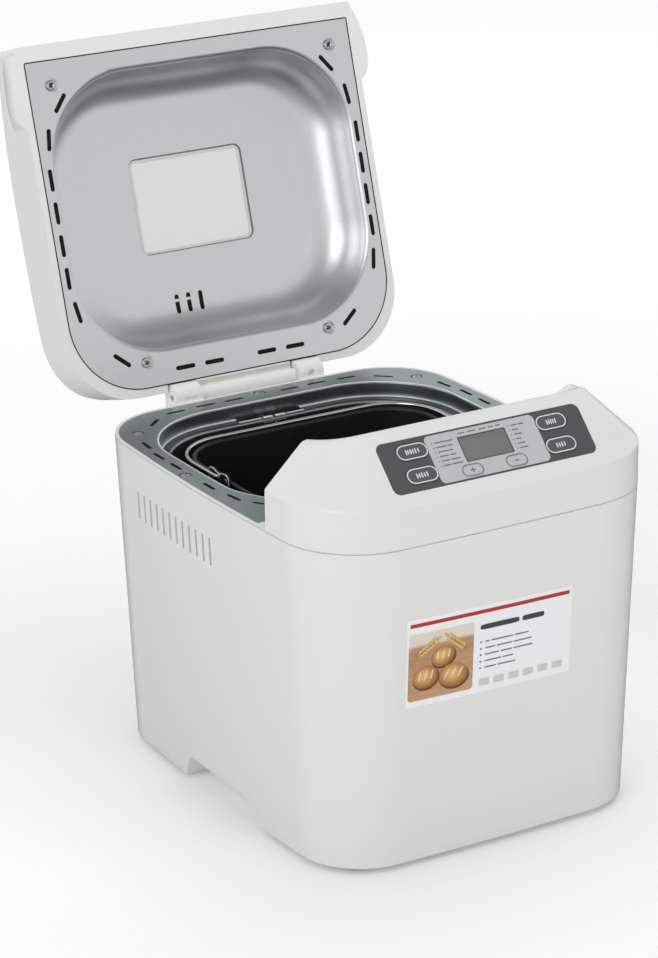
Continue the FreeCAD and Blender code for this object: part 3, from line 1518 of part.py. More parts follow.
def hinge_pins():
    """Pins pressed in the lid's arm that turn in the knuckles."""
    inner, outer = knuckle_inner_x - 12, knuckle_outer_x - 1
    return both_sides(cross_rod(hinge_pin_radius, inner, outer, hinge_y, hinge_z))


def hinge_arm():
    """Arm of the lid between the knuckles: a barrel on the axis and a bar on the rear wall, hollowed."""
    reach = knuckle_inner_x - arm_side_gap
    barrel = cross_rod(hinge_barrel_radius, -reach, reach, hinge_y, hinge_z)
    bar = box(-reach, reach, lid_rear_y, hinge_y + 4, hinge_z - arm_drop, hinge_z + arm_rise)
    top_rear = [edge for edge in bar.Edges if edge.BoundBox.XLength > 1
                and edge.CenterOfMass.y > hinge_y and edge.CenterOfMass.z > hinge_z]
    bar = bar.makeFillet(arm_rounding, top_rear)
    channel = []
    for rise, margin, y_low, y_high in ((-0.1, 3.0, 0.6, 5.2), (2.0, 6.0, 1.2, 4.0)):
        end = reach - margin
        corners = [Vector(x, lid_rear_y + y, hinge_z - arm_drop + rise) for x, y in (
            (-end, y_low), (end, y_low), (end, y_high), (-end, y_high))]
        channel.append(Part.makePolygon(corners + corners[:1]))
    arm = fused([barrel, bar]).cut(Part.makeLoft(channel, True, True))
    arm = arm.cut(box(-reach, reach, lid_rear_y - hinge_barrel_radius, lid_rear_y,
                      hinge_z - 20, hinge_z + 20))
    pins = [cross_rod(hinge_pin_radius, -reach - 1, -reach + 11.7, hinge_y, hinge_z)]
    pins.append(mirrored(pins[0]))
    return arm.cut(Part.makeCompound(pins))


# ---- the whole ----

def pieces():
    """Every node of the machine by name, each a list of solids, with the lid open."""
    lid = {
        "lid_shell": [lid_shell()],
        "lid_liner": [lid_liner()],
        "outer_lens": [outer_lens()],
        "inner_pane": [inner_pane()],
        "window_gasket": [window_gasket()],
        "lid_screws": lid_screws(),
        "hinge_arm": [hinge_arm()],
        "hinge_pins": hinge_pins(),
    }
    nodes = {
        "body_shell": [housing_shell()],
        "base_plate": [base_plate()],
        "base_screws": base_screws(),
        "cord_gland": [cord_gland()],
        "hood_cover": [hood_cover()],
        "control_overlay": [control_overlay()],
        "display_window": [display_window()],
        "display_module": [display_module()],
        "control_board": [control_board()],
        "deck": [deck()],
        "deck_screws": deck_screws(),
        "chamber": [chamber()],
        "heater": [heater()],
        "heater_clips": heater_clips(),
        "heater_bushings": heater_bushings(),
        "temperature_sensor": [temperature_sensor()],
        "drive_frame": [drive_frame()],
        "frame_screws": frame_screws(),
        "bearing_housing": [bearing_housing()],
        "drive_shaft": [drive_shaft()],
        "drive_coupling": [drive_coupling()],
        "drive_pulley": [pulley(drive_pulley_radius, 11, drive_shaft_radius, 6, 0, oven_y)],
        "belt": [belt()],
        "motor": [motor()],
        "motor_shaft": [motor_shaft()],
        "motor_pulley": [pulley(motor_pulley_radius, 8, motor_shaft_radius, 0, motor_x, motor_y)],
        "motor_capacitor": [motor_capacitor()],
        "power_board": [power_board()],
        "pan": [pan()],
        "pan_base_ring": [pan_base_ring()],
        "pan_seat": [pan_seat()],
        "pan_bush": [pan_bush()],
        "pan_shaft": [pan_shaft()],
        "pan_coupling": [pan_coupling()],
        "paddle": [paddle()],
        "handle_ears": handle_ears(),
        "bail_handle": [bail_handle()],
        "hinge_knuckles": hinge_knuckles(),
    }
    for name, (x, y) in zip(("foot_front_left", "foot_front_right", "foot_rear_left", "foot_rear_right"),
                            foot_places()):
        nodes[name] = [foot(x, y)]
    for name, place in keys().items():
        nodes[name] = [key_cap(*place)]
    for name, solids in lid.items():
        nodes[name] = [opened(solid) for solid in solids]
    return nodes


def plan_shift(nodes):
    """Shift along Y that puts the origin under the middle of the whole."""
    boxes = [solid.optimalBoundingBox() for name in ("body_shell", "lid_shell") for solid in nodes[name]]
    return -(min(box.YMin for box in boxes) + max(box.YMax for box in boxes)) / 2


def main():
    os.makedirs("parts", exist_ok=True)
    nodes = pieces()
    shift = plan_shift(nodes)
    print(f"origin shift {shift:.4f}")
    for name, solids in nodes.items():
        placed = [moved(solid, 0, shift) for solid in solids]
        shape = placed[0] if len(placed) == 1 else Part.makeCompound(placed)
        shape.exportStep(f"parts/{name}.step")


if __name__ == "__main__":
    main()
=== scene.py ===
"""Bread machine: finishes, small moulded and printed detail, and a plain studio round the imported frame."""

import json
import logging
import math
from dataclasses import dataclass, field
from enum import Enum
from typing import Sequence

import bmesh
import bpy
from mathutils import Matrix, Vector


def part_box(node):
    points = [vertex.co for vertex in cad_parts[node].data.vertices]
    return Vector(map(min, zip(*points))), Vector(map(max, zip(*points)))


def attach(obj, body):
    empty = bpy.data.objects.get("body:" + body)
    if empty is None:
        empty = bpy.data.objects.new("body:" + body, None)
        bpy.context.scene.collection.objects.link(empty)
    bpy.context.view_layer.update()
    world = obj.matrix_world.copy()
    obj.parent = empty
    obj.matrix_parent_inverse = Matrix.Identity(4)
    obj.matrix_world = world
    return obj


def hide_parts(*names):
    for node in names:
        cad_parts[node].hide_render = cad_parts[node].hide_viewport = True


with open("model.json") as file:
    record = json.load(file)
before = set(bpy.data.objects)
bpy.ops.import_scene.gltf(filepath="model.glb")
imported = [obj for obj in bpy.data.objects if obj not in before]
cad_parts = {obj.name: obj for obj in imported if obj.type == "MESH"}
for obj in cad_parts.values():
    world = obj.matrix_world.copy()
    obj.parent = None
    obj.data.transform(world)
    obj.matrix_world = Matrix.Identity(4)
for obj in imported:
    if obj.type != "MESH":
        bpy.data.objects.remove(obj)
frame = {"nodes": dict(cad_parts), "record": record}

log = logging.getLogger("bread_machine")
Pair = tuple[float, float]
Triple = tuple[float, float, float]
Bar = tuple[float, float, float, float]
Colour = Triple
Piece = bpy.types.Object
MM = 0.001
MERGE = 0.000005
STROKE = 0.95
BAR_CORNER = 0.18
CUTTER = 4.0


# ---- shader maths ----

class Sock:
    """One value or colour in a node tree, with Python's operators adding Math nodes."""

    def __init__(self, tree: "Tree", link: bpy.types.NodeSocket) -> None:
        """Wrap one output socket of a tree."""
        self.tree = tree
        self.link = link

    def _math(self, operation: str, *values: "Sock | float") -> "Sock":
        """Result of one Math node on some values."""
        return self.tree.node("ShaderNodeMath", {"operation": operation}, dict(enumerate(values)))

    def __add__(self, other: "Sock | float") -> "Sock":
        """Sum of two values."""
        return self._math("ADD", self, other)

    def __radd__(self, other: float) -> "Sock":
        """Sum with a number on the left."""
        return self._math("ADD", other, self)

    def __sub__(self, other: "Sock | float") -> "Sock":
        """Difference of two values."""
        return self._math("SUBTRACT", self, other)

    def __rsub__(self, other: float) -> "Sock":
        """Difference from a number on the left."""
        return self._math("SUBTRACT", other, self)

    def __mul__(self, other: "Sock | float") -> "Sock":
        """Product of two values."""
        return self._math("MULTIPLY", self, other)

    def __rmul__(self, other: float) -> "Sock":
        """Product with a number on the left."""
        return self._math("MULTIPLY", other, self)

    def clamped(self) -> "Sock":
        """The value held between nought and one."""
        return self._math("MINIMUM", self._math("MAXIMUM", self, 0.0), 1.0)

    def above(self, limit: float, soft: float) -> "Sock":
        """Soft step: nought well under a limit and one well over it.

        Args:
            limit: Value at which the step is half way.
            soft: Half the width of the step.

        Returns:
            The step's value.
        """
        return ((self - (limit - soft)) * (0.5 / soft)).clamped()


class Tree:
    """Node tree of a finish or of the studio's surround, built through one method."""

    def __init__(self, name: str, surround: bool = False) -> None:
        """Open an empty tree for a new material, or for a new surround."""
        self.owner = (bpy.data.worlds if surround else bpy.data.materials).new(name)
        self.owner.use_nodes = True
        self.nodes = self.owner.node_tree.nodes
        self.links = self.owner.node_tree.links
        self.nodes.clear()
        self.output = self.nodes.new("ShaderNodeOutputWorld" if surround else "ShaderNodeOutputMaterial")

    def node(self, kind: str, settings: dict | None = None, inputs: dict | None = None,
             output: int | str = 0) -> Sock:
        """Add a node.

        Args:
            kind: Blender's name of the node type.
            settings: Properties, set before the sockets. A ramp's stops are under "stops".
            inputs: Values or links by socket name or number.
            output: Socket that is returned.

        Returns:
            The chosen output socket.
        """
        made = self.nodes.new(kind)
        for key, value in (settings or {}).items():
            if key == "stops":
                ramp = made.color_ramp
                while len(ramp.elements) < len(value):
                    ramp.elements.new(1.0)
                for element, (place, colour) in zip(ramp.elements, value):
                    element.position = place
                    element.color = colour
            else:
                setattr(made, key, value)
        for key, value in (inputs or {}).items():
            if isinstance(value, Sock):
                self.links.new(value.link, made.inputs[key])
            else:
                made.inputs[key].default_value = value
        return Sock(self, made.outputs[output])

    def place(self, scale: Sequence[float] = (1, 1, 1), turn: Sequence[float] = (0, 0, 0)) -> Sock:
        """Object coordinates in metres, scaled and turned."""
        where = self.node("ShaderNodeTexCoord", output="Object")
        return self.node("ShaderNodeMapping", None, {"Vector": where, "Scale": scale, "Rotation": turn})

    def noise(self, scale: float, detail: float = 2.0, where: Sock | None = None) -> Sock:
        """Noise over the piece, from nought to one."""
        return self.node("ShaderNodeTexNoise", None,
                         {"Vector": where or self.place(), "Scale": scale, "Detail": detail})

    def blend(self, factor: Sock, first: Colour | Sock, second: Colour) -> Sock:
        """Colour between a fixed or changing colour and a fixed one."""
        start = first if isinstance(first, Sock) else (*first, 1)
        return self.node("ShaderNodeMix", {"data_type": "RGBA"}, {0: factor, 6: start, 7: (*second, 1)}, 2)

    def bump(self, height: Sock, distance: float) -> Sock:
        """Normal from a height, in metres."""
        return self.node("ShaderNodeBump", None, {"Height": height, "Distance": distance, "Strength": 1.0})

    def surface(self, shader: Sock) -> bpy.types.Material | bpy.types.World:
        """Feed the output and give back what the tree belongs to."""
        self.links.new(shader.link, self.output.inputs["Surface"])
        return self.owner

    def principled(self, **sockets: "Sock | float | Sequence[float]") -> bpy.types.Material:
        """Finish the material with a Principled surface.

        Args:
            **sockets: Socket values, with spaces in their names written as underscores.

        Returns:
            The finished material.
        """
        inputs = {key.replace("_", " "): value for key, value in sockets.items()}
        return self.surface(self.node("ShaderNodeBsdfPrincipled", None, inputs))


def wander(middle: float, *swings: tuple[Sock, float]) -> Sock:
    """A value that swings about its middle with one noise after another."""
    value = middle
    for noise, swing in swings:
        value = value + (noise - 0.5) * swing
    return value


def shaded(colour: Colour, share: float, lift: float = 0.0) -> Colour:
    """A colour made darker or lighter."""
    return tuple(min(1.0, channel * share + lift) for channel in colour)


# ---- finishes ----

@dataclass(frozen=True)
class Moulding:
    """Moulded plastic: a tint that wanders slightly, faint flow and grain, gloss set by the roughness."""

    name: str
    colour: Colour
    roughness: float = 0.3
    grain: float = 900.0
    grain_depth: float = 0.00001
    coat: float = 0.0
    cloud: float = 7.0
    cloud_share: float = 0.965
    wear: float = 60.0

    def material(self) -> bpy.types.Material:
        """Build the material."""
        tree = Tree(self.name)
        cloud = tree.noise(self.cloud, 3.0)
        fine = tree.noise(self.grain, 3.0)
        wear = tree.noise(self.wear, 4.0)
        return tree.principled(
            Base_Color=tree.blend(cloud, shaded(self.colour, self.cloud_share), self.colour),
            Roughness=wander(self.roughness, (wear, 0.08), (fine, 0.04)),
            Coat_Weight=self.coat, Coat_Roughness=0.08,
            Normal=tree.bump(fine, self.grain_depth))


@dataclass(frozen=True)
class Steel:
    """Sheet or bar steel: fine satin grain along one way, clouding and a few faint marks."""

    name: str
    colour: Colour
    roughness: float = 0.32
    along: Triple = (1.0, 12.0, 12.0)
    grain: float = 240.0
    metallic: float = 1.0
    grain_depth: float = 0.000012
    cloud: float = 9.0
    cloud_share: float = 0.86
    speck: float = 1500.0

    def material(self) -> bpy.types.Material:
        """Build the material."""
        tree = Tree(self.name)
        streak = tree.noise(self.grain, 3.0, tree.place(self.along))
        cloud = tree.noise(self.cloud, 3.0)
        speck = tree.noise(self.speck, 1.0)
        shade = (streak * 0.45 + cloud * 0.55).clamped()
        return tree.principled(
            Base_Color=tree.blend(shade, shaded(self.colour, self.cloud_share), self.colour),
            Metallic=self.metallic,
            Roughness=wander(self.roughness, (cloud, 0.10), (speck, 0.06)),
            Normal=tree.bump(streak * 0.6 + speck * 0.4, self.grain_depth))


@dataclass(frozen=True)
class Coating:
    """Baked non-stick coating: near-black, with sparkle specks and a soft sheen."""

    name: str
    colour: Colour
    roughness: float = 0.34

    def material(self) -> bpy.types.Material:
        """Build the material."""
        tree = Tree(self.name)
        speck = tree.noise(1300.0, 2.0)
        light = tree.noise(420.0, 1.0).above(0.70, 0.02)
        return tree.principled(
            Base_Color=tree.blend(light, self.colour, shaded(self.colour, 1.5, 0.01)),
            Roughness=wander(self.roughness, (speck, 0.12)),
            Normal=tree.bump(speck, 0.00002))


@dataclass(frozen=True)
class Clear:
    """Clear or tinted pane with a trace of haze."""

    name: str
    colour: Colour
    roughness: float = 0.05
    alpha: float = 0.35

    def material(self) -> bpy.types.Material:
        """Build the material."""
        tree = Tree(self.name)
        haze = tree.noise(40.0, 3.0)
        return tree.principled(
            Base_Color=tree.blend(haze, self.colour, shaded(self.colour, 0.94)),
            Roughness=self.roughness + haze * 0.05, Alpha=self.alpha)


@dataclass(frozen=True)
class Ink:
    """Printed ink with a fine screen and slight unevenness."""

    name: str
    colour: Colour
    roughness: float = 0.45

    def material(self) -> bpy.types.Material:
        """Build the material."""
        tree = Tree(self.name)
        mottle = tree.noise(500.0, 2.0)
        return tree.principled(
            Base_Color=tree.blend(mottle, self.colour, shaded(self.colour, 0.92, 0.02)),
            Roughness=wander(self.roughness, (mottle, 0.1)))


@dataclass(frozen=True)
class BoardPrint:
    """Printed picture ground: a wooden board with fine grain, paler towards its top."""

    name: str
    light: Colour = (0.72, 0.46, 0.27)
    dark: Colour = (0.33, 0.14, 0.06)
    cloth: Colour = (0.80, 0.74, 0.66)
    cloth_height: float = 0.158
    roughness: float = 0.34

    def material(self) -> bpy.types.Material:
        """Build the material."""
        tree = Tree(self.name)
        grain = tree.noise(60.0, 5.0, tree.place((1.0, 1.0, 9.0)))
        knots = tree.noise(26.0, 3.0, tree.place((0.5, 1.0, 3.0)))
        wood = tree.blend((grain * 0.7 + knots * 0.5 - 0.1).clamped(), self.dark, self.light)
        where = tree.node("ShaderNodeTexCoord", output="Object")
        height = tree.node("ShaderNodeSeparateXYZ", None, {"Vector": where}, 2)
        cloth = (height + (knots - 0.5) * 0.012).above(self.cloth_height, 0.0016)
        return tree.principled(Base_Color=tree.blend(cloth * 0.9, wood, self.cloth),
                               Roughness=wander(self.roughness, (grain, 0.06)))


@dataclass(frozen=True)
class CrustPrint:
    """Printed baked crust or grain: light in the middle, browned towards the edge."""

    name: str
    middle: Colour
    edge: Colour
    heart: Triple = (0.45, 0.58, 0.0)
    roughness: float = 0.34

    def material(self) -> bpy.types.Material:
        """Build the material."""
        tree = Tree(self.name)
        flat = tree.node("ShaderNodeTexCoord", output="UV")
        away = tree.node("ShaderNodeVectorMath", {"operation": "DISTANCE"}, {0: flat, 1: self.heart}, "Value")
        speck = tree.noise(420.0, 3.0)
        brown = (away * 2.3 - 0.25 + (speck - 0.5) * 0.35).clamped()
        return tree.principled(Base_Color=tree.blend(brown, self.middle, self.edge),
                               Roughness=wander(self.roughness, (speck, 0.06)))


class Finishes:
    """Every finish of the machine, made once by name."""

    def __init__(self) -> None:
        """Build the material of every finish."""
        listed = (
            Moulding("shell_white", (0.83, 0.825, 0.81), 0.24, 700.0, 0.000006, 0.25),
            Moulding("hinge_white", (0.93, 0.925, 0.90), 0.34),
            Moulding("base_grey", (0.60, 0.60, 0.59), 0.5, 600.0, 0.00003),
            Moulding("foot_rubber", (0.03, 0.03, 0.03), 0.7, 500.0, 0.00004),
            Steel("deck_steel", (0.45, 0.515, 0.525), 0.31),
            Steel("chamber_steel", (0.45, 0.46, 0.47), 0.34, (12.0, 12.0, 1.0)),
            Steel("liner_steel", (0.90, 0.90, 0.925), 0.38, (1.0, 9.0, 9.0), 200.0),
            Steel("zinc_steel", (0.62, 0.62, 0.63), 0.25),
            Steel("bright_wire", (0.92, 0.91, 0.89), 0.16),
            Steel("shaft_steel", (0.55, 0.55, 0.55), 0.25),
            Coating("nonstick", (0.012, 0.012, 0.013), 0.36),
            Steel("cast_alloy", (0.55, 0.55, 0.56), 0.45, (3.0, 3.0, 3.0), 400.0),
            Steel("heater_sheath", (0.16, 0.15, 0.14), 0.42),
            Moulding("ceramic", (0.80, 0.77, 0.69), 0.3),
            Moulding("overlay_film", (0.085, 0.088, 0.092), 0.42, 1600.0, 0.00002),
            Moulding("key_grey", (0.10, 0.104, 0.11), 0.38, 1600.0, 0.00002),
            Clear("display_clear", (0.33, 0.33, 0.32), 0.12, 0.45),
            Moulding("display_unit", (0.17, 0.175, 0.165), 0.35),
            Moulding("board_green", (0.03, 0.16, 0.07), 0.35),
            Clear("window_clear", (1.0, 1.0, 0.985), 0.16, 0.93),
            Moulding("gasket_silicone", (0.70, 0.70, 0.68), 0.5),
            Moulding("pulley_black", (0.03, 0.03, 0.03), 0.4),
            Moulding("belt_rubber", (0.02, 0.02, 0.02), 0.6),
            Moulding("motor_metal", (0.12, 0.12, 0.13), 0.4),
            Moulding("capacitor_white", (0.75, 0.75, 0.72), 0.35),
            Ink("label_paper", (0.93, 0.935, 0.96), 0.3),
            Ink("ink_white", (0.78, 0.79, 0.80)),
            Ink("panel_silver", (0.55, 0.56, 0.58), 0.38),
            Ink("ink_dark", (0.06, 0.06, 0.065)),
            Ink("ink_red", (0.52, 0.02, 0.025)),
            Ink("ink_grey", (0.20, 0.20, 0.22)),
            Ink("ink_pale", (0.66, 0.64, 0.62)),
            Ink("ink_cream", (0.83, 0.70, 0.48)),
            Ink("ink_brown", (0.13, 0.055, 0.025)),
            Ink("ink_green", (0.22, 0.27, 0.09)),
            # Near-black painted shade: laid behind slots, in screw recesses and along the liner's seam.
            Moulding("painted_shade_black", (0.006, 0.006, 0.006), 0.9, 1500.0, 0.00003),
            # Painted shade for the floor of the arm's channel.
            Moulding("painted_channel_shade", (0.66, 0.655, 0.60), 0.5, 900.0, 0.00002),
            # Painted shade for the chamber's flange inside the oven's mouth.
            Steel("painted_flange_shade", (0.13, 0.145, 0.17), 0.30),
            # Painted highlight for bright lines along rolled edges.
            Steel("painted_highlight", (0.97, 0.97, 0.98), 0.25, metallic=0.3),
            Moulding("bead_silicone", (0.74, 0.74, 0.74), 0.35),
            BoardPrint("board_print"),
            CrustPrint("crust_print", (0.80, 0.46, 0.16), (0.36, 0.13, 0.035)),
            CrustPrint("grain_print", (0.86, 0.62, 0.24), (0.52, 0.29, 0.07)),
        )
        self.made = {finish.name: finish.material() for finish in listed}

    def __getitem__(self, name: str) -> bpy.types.Material:
        """A finish's material."""
        return self.made[name]


# ---- modelling helpers ----

@dataclass(frozen=True)
class Bench:
    """Flat working plane: its origin and the ways along its width and its height."""

    origin: Vector
    across: Vector
    up: Vector

    def matrix(self) -> Matrix:
        """Turn and place from the plane's own coordinates to the machine's."""
        turn = Matrix((self.across, self.up, self.across.cross(self.up))).transposed()
        return Matrix.Translation(self.origin) @ turn.to_4x4()


class Edge(Enum):
    """Which outline a plate starts from."""

    ROUNDED = "rounded"
    ROUND = "round"


def spot(x: float, y: float, z: float = 0.0) -> Matrix:
    """Shift in millimetres."""
    return Matrix.Translation(Vector((x, y, z)) * MM)


def heading(degrees: float) -> Matrix:
    """Turn on the working plane, or about the way that the camera looks."""
    return Matrix.Rotation(math.radians(degrees), 4, "Z")


def stadium(size: Pair, slack: float = 0.02) -> float:
    """Corner that rounds the ends of a bar, a touch under half its height."""
    return size[1] / 2 - slack


def deselect() -> None:
    """Leave nothing selected and no object in edit mode."""
    if bpy.context.object and bpy.context.object.mode != "OBJECT":
        bpy.ops.object.mode_set(mode="OBJECT")
    bpy.ops.object.select_all(action="DESELECT")


def pick(piece: Piece) -> None:
    """Make one object the only selected and active one."""
    deselect()
    piece.select_set(True)
    bpy.context.view_layer.objects.active = piece


def settle(piece: Piece, where: Matrix) -> Piece:
    """Place a piece and put the place into its mesh.

    Args:
        piece: Piece as it was modelled.
        where: Turn and place to give it.

    Returns:
        The same piece, its object at the origin.
    """
    pick(piece)
    piece.matrix_world = where @ piece.matrix_world
    bpy.ops.object.transform_apply(location=True, rotation=True, scale=True)
    return piece


def apply_modifier(piece: Piece, name: str, kind: str, **settings: object) -> None:
    """Add a modifier with its settings and apply it."""
    pick(piece)
    modifier = piece.modifiers.new(name, kind)
    for key, value in settings.items():
        setattr(modifier, key, value)
    bpy.ops.object.modifier_apply(modifier=modifier.name)


def smoothed(piece: Piece, angle: float) -> None:
    """Shade a piece smooth where its faces meet at less than an angle in degrees."""
    pick(piece)
    bpy.ops.object.shade_smooth_by_angle(angle=math.radians(angle))


def rolled(piece: Piece, radius: float) -> Piece:
    """Round the edges of a narrow piece by a radius in millimetres."""
    apply_modifier(piece, "roll", "BEVEL", width=radius * MM, segments=3, limit_method="ANGLE")
    smoothed(piece, 40)
    return piece


def round_off(piece: Piece, radius: float, side: int, height: float) -> None:
    """Round the two upper or the two lower corners of a flat plate in edit mode.

    Args:
        piece: Plate in edit mode.
        radius: Radius in millimetres.
        side: 1 for the upper corners, -1 for the lower ones.
        height: Height of the plate in millimetres.
    """
    bpy.ops.mesh.select_all(action="DESELECT")
    work = bmesh.from_edit_mesh(piece.data)
    for vertex in work.verts:
        if abs(vertex.co.y - side * height * MM / 2) < 0.01 * MM:
            vertex.select_set(True)
    work.select_flush_mode()
    bmesh.update_edit_mesh(piece.data)
    bpy.ops.mesh.bevel(offset=radius * MM, affect="VERTICES", segments=max(6, round(radius / 3)))


def plate(name: str, size: Pair, corner: float | Pair, thickness: float,
          centre: Pair = (0.0, 0.0), lift: float = 0.0, band: float = 0.0,
          turn: float = 0.0, edge: Edge = Edge.ROUNDED) -> Piece:
    """Flat plate or ring that lies on a working plane.

    Args:
        name: Name of the piece.
        size: Width and height in millimetres.
        corner: Radius of its corners in millimetres, or of the upper and of the lower ones.
        thickness: Thickness in millimetres, or nought for a bare sheet.
        centre: Middle on the plane in millimetres.
        lift: Height of its underside above the plane in millimetres.
        band: Width of the ring that is kept, or nought for a full plate.
        turn: Heading on the plane in degrees.
        edge: Outline that it starts from.

    Returns:
        The piece.
    """
    deselect()
    if edge is Edge.ROUND:
        bpy.ops.mesh.primitive_circle_add(vertices=40, radius=0.5, fill_type="NGON", calc_uvs=True)
    else:
        bpy.ops.mesh.primitive_plane_add(size=1.0)
    piece = bpy.context.object
    piece.name = name
    bpy.ops.object.mode_set(mode="EDIT")
    bpy.ops.mesh.select_all(action="SELECT")
    bpy.ops.transform.resize(value=(size[0] * MM, size[1] * MM, 1.0))
    if edge is Edge.ROUNDED and corner:
        upper, lower = corner if isinstance(corner, tuple) else (corner, corner)
        round_off(piece, upper, 1, size[1])
        round_off(piece, lower, -1, size[1])
        bpy.ops.mesh.select_all(action="SELECT")
    if band:
        bpy.ops.mesh.inset(thickness=band * MM, use_boundary=True)
        bpy.ops.mesh.delete(type="FACE")
        bpy.ops.mesh.select_all(action="SELECT")
    if thickness:
        bpy.ops.mesh.extrude_region_move(TRANSFORM_OT_translate={"value": (0, 0, thickness * MM)})
        bpy.ops.mesh.select_all(action="SELECT")
        bpy.ops.mesh.normals_make_consistent(inside=False)
    bpy.ops.object.mode_set(mode="OBJECT")
    return settle(piece, spot(*centre, lift) @ heading(turn))


def double_of(piece: Piece) -> Piece:
    """Copy of a piece with its own mesh, in the same place."""
    double = piece.copy()
    double.data = piece.data.copy()
    bpy.context.scene.collection.objects.link(double)
    return double


def copied(piece: Piece, where: Matrix) -> Piece:
    """Copy of a piece with its own mesh, put in another place."""
    return settle(double_of(piece), where)


def opened_copy(node: str) -> Piece:
    """Merged copy of a node, left in edit mode with all of it selected."""
    double = double_of(frame["nodes"][node])
    pick(double)
    bpy.ops.object.mode_set(mode="EDIT")
    bpy.ops.mesh.select_all(action="SELECT")
    bpy.ops.mesh.remove_doubles(threshold=MERGE)
    return double


def joined(name: str, pieces: Sequence[Piece]) -> Piece:
    """Join pieces into one of a given name."""
    deselect()
    for piece in pieces:
        piece.select_set(True)
    bpy.context.view_layer.objects.active = pieces[0]
    if len(pieces) > 1:
        bpy.ops.object.join()
    pieces[0].name = name
    return pieces[0]


def cut(piece: Piece, cutter: Piece) -> None:
    """Cut a closed piece by another, which is used up."""
    apply_modifier(piece, "cut", "BOOLEAN", operation="DIFFERENCE", solver="EXACT", object=cutter)
    bpy.data.objects.remove(cutter)


def rows(name: str, places: Sequence[Bar], thickness: float, lift: float) -> Piece:
    """Printed bars, modelled once and copied.

    Args:
        name: Name of the joined piece.
        places: Middle, width and height of each bar in millimetres.
        thickness: Thickness of the print in millimetres.
        lift: Height of its underside above the plane in millimetres.

    Returns:
        All the bars as one piece.
    """
    one = plate(name, (1.0, 1.0), BAR_CORNER, thickness, lift=lift)
    bars = [copied(one, spot(x, y) @ Matrix.Diagonal((width, height, 1, 1)))
            for x, y, width, height in places]
    bpy.data.objects.remove(one)
    return joined(name, bars)


def words(start: float, height: float, lengths: Sequence[float], space: float) -> list[Bar]:
    """Bars in the place of words, one after the other on a line.

    Args:
        start: Left end of the first bar in millimetres.
        height: Height of the line in millimetres.
        lengths: Length of each bar in millimetres.
        space: Gap between two bars in millimetres.

    Returns:
        Middle, width and height of each bar.
    """
    placed = []
    for length in lengths:
        placed.append((start + length / 2, height, length, STROKE))
        start += length + space
    return placed


def slot_shade_pads(size: Pair, thickness: float, slots: Sequence[Triple],
              lift: float, shift: float = 0.0) -> list[Piece]:
    """Dark pads of painted shade at the slots of one side and at their mirror images.

    Args:
        size: Width and height of a pad in millimetres.
        thickness: Thickness of a pad in millimetres.
        slots: Place and heading of each slot of one side.
        lift: Height of the pads' undersides above the plane in millimetres.
        shift: How far the places are moved along the plane's height in millimetres.

    Returns:
        The pads.
    """
    one = plate("slot_shade", size, stadium(size, 0.05), thickness, lift=lift)
    pads = [copied(one, spot(side * x, y + shift) @ heading(side * turn))
            for x, y, turn in slots for side in (-1, 1)]
    bpy.data.objects.remove(one)
    return pads


def section_line(name: str, node: str, flat: tuple[Vector, Vector], keep: tuple[Vector, Vector],
                 radius: float) -> Piece:
    """Fine round bead along the outline that a plane cuts from a node.

    Args:
        name: Name of the piece.
        node: Node that is cut.
        flat: A point on the cutting plane and its normal.
        keep: A point and a normal: what lies behind that plane is left out.
        radius: Radius of the bead in millimetres.

    Returns:
        The bead.
    """
    opened_copy(node)
    bpy.ops.mesh.bisect(plane_co=flat[0], plane_no=flat[1], clear_inner=True, clear_outer=True)
    bpy.ops.mesh.select_all(action="SELECT")
    bpy.ops.mesh.bisect(plane_co=keep[0], plane_no=keep[1], clear_inner=True)
    bpy.ops.object.mode_set(mode="OBJECT")
    bpy.ops.object.convert(target="CURVE")
    curve = bpy.context.object
    curve.data.bevel_depth = radius * MM
    curve.data.bevel_resolution = 2
    curve.data.use_fill_caps = True
    bpy.ops.object.convert(target="MESH")
    bead = bpy.context.object
    bead.name = name
    return bead


def finish(piece: Piece, material: bpy.types.Material, body: str, slot: str) -> Piece:
    """Dress a piece, hang it on its body and report it.

    Args:
        piece: Finished piece.
        material: Its material.
        body: Body of the machine that it moves with.
        slot: Material slot that its finish belongs to; not used.

    Returns:
        The same piece.
    """
    piece.data.materials.clear()
    piece.data.materials.append(material)
    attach(piece, body)
    log.info("%s: %d faces on %s", piece.name, len(piece.data.polygons), body)
    return piece


@dataclass
class Detail:
    """Small work of a sub-assembly, modelled on a working plane."""

    finishes: Finishes

    def bench(self) -> Bench:
        """Working plane: the machine's own ground plan, unless a sub-assembly has another."""
        return Bench(Vector(), Vector((1, 0, 0)), Vector((0, 1, 0)))

    def place(self, piece: Piece, finish_name: str, slot: str, body: str = "housing") -> None:
        """Put a piece from the working plane on the machine and dress it."""
        settle(piece, self.bench().matrix())
        finish(piece, self.finishes[finish_name], body, slot)


# ---- control panel ----

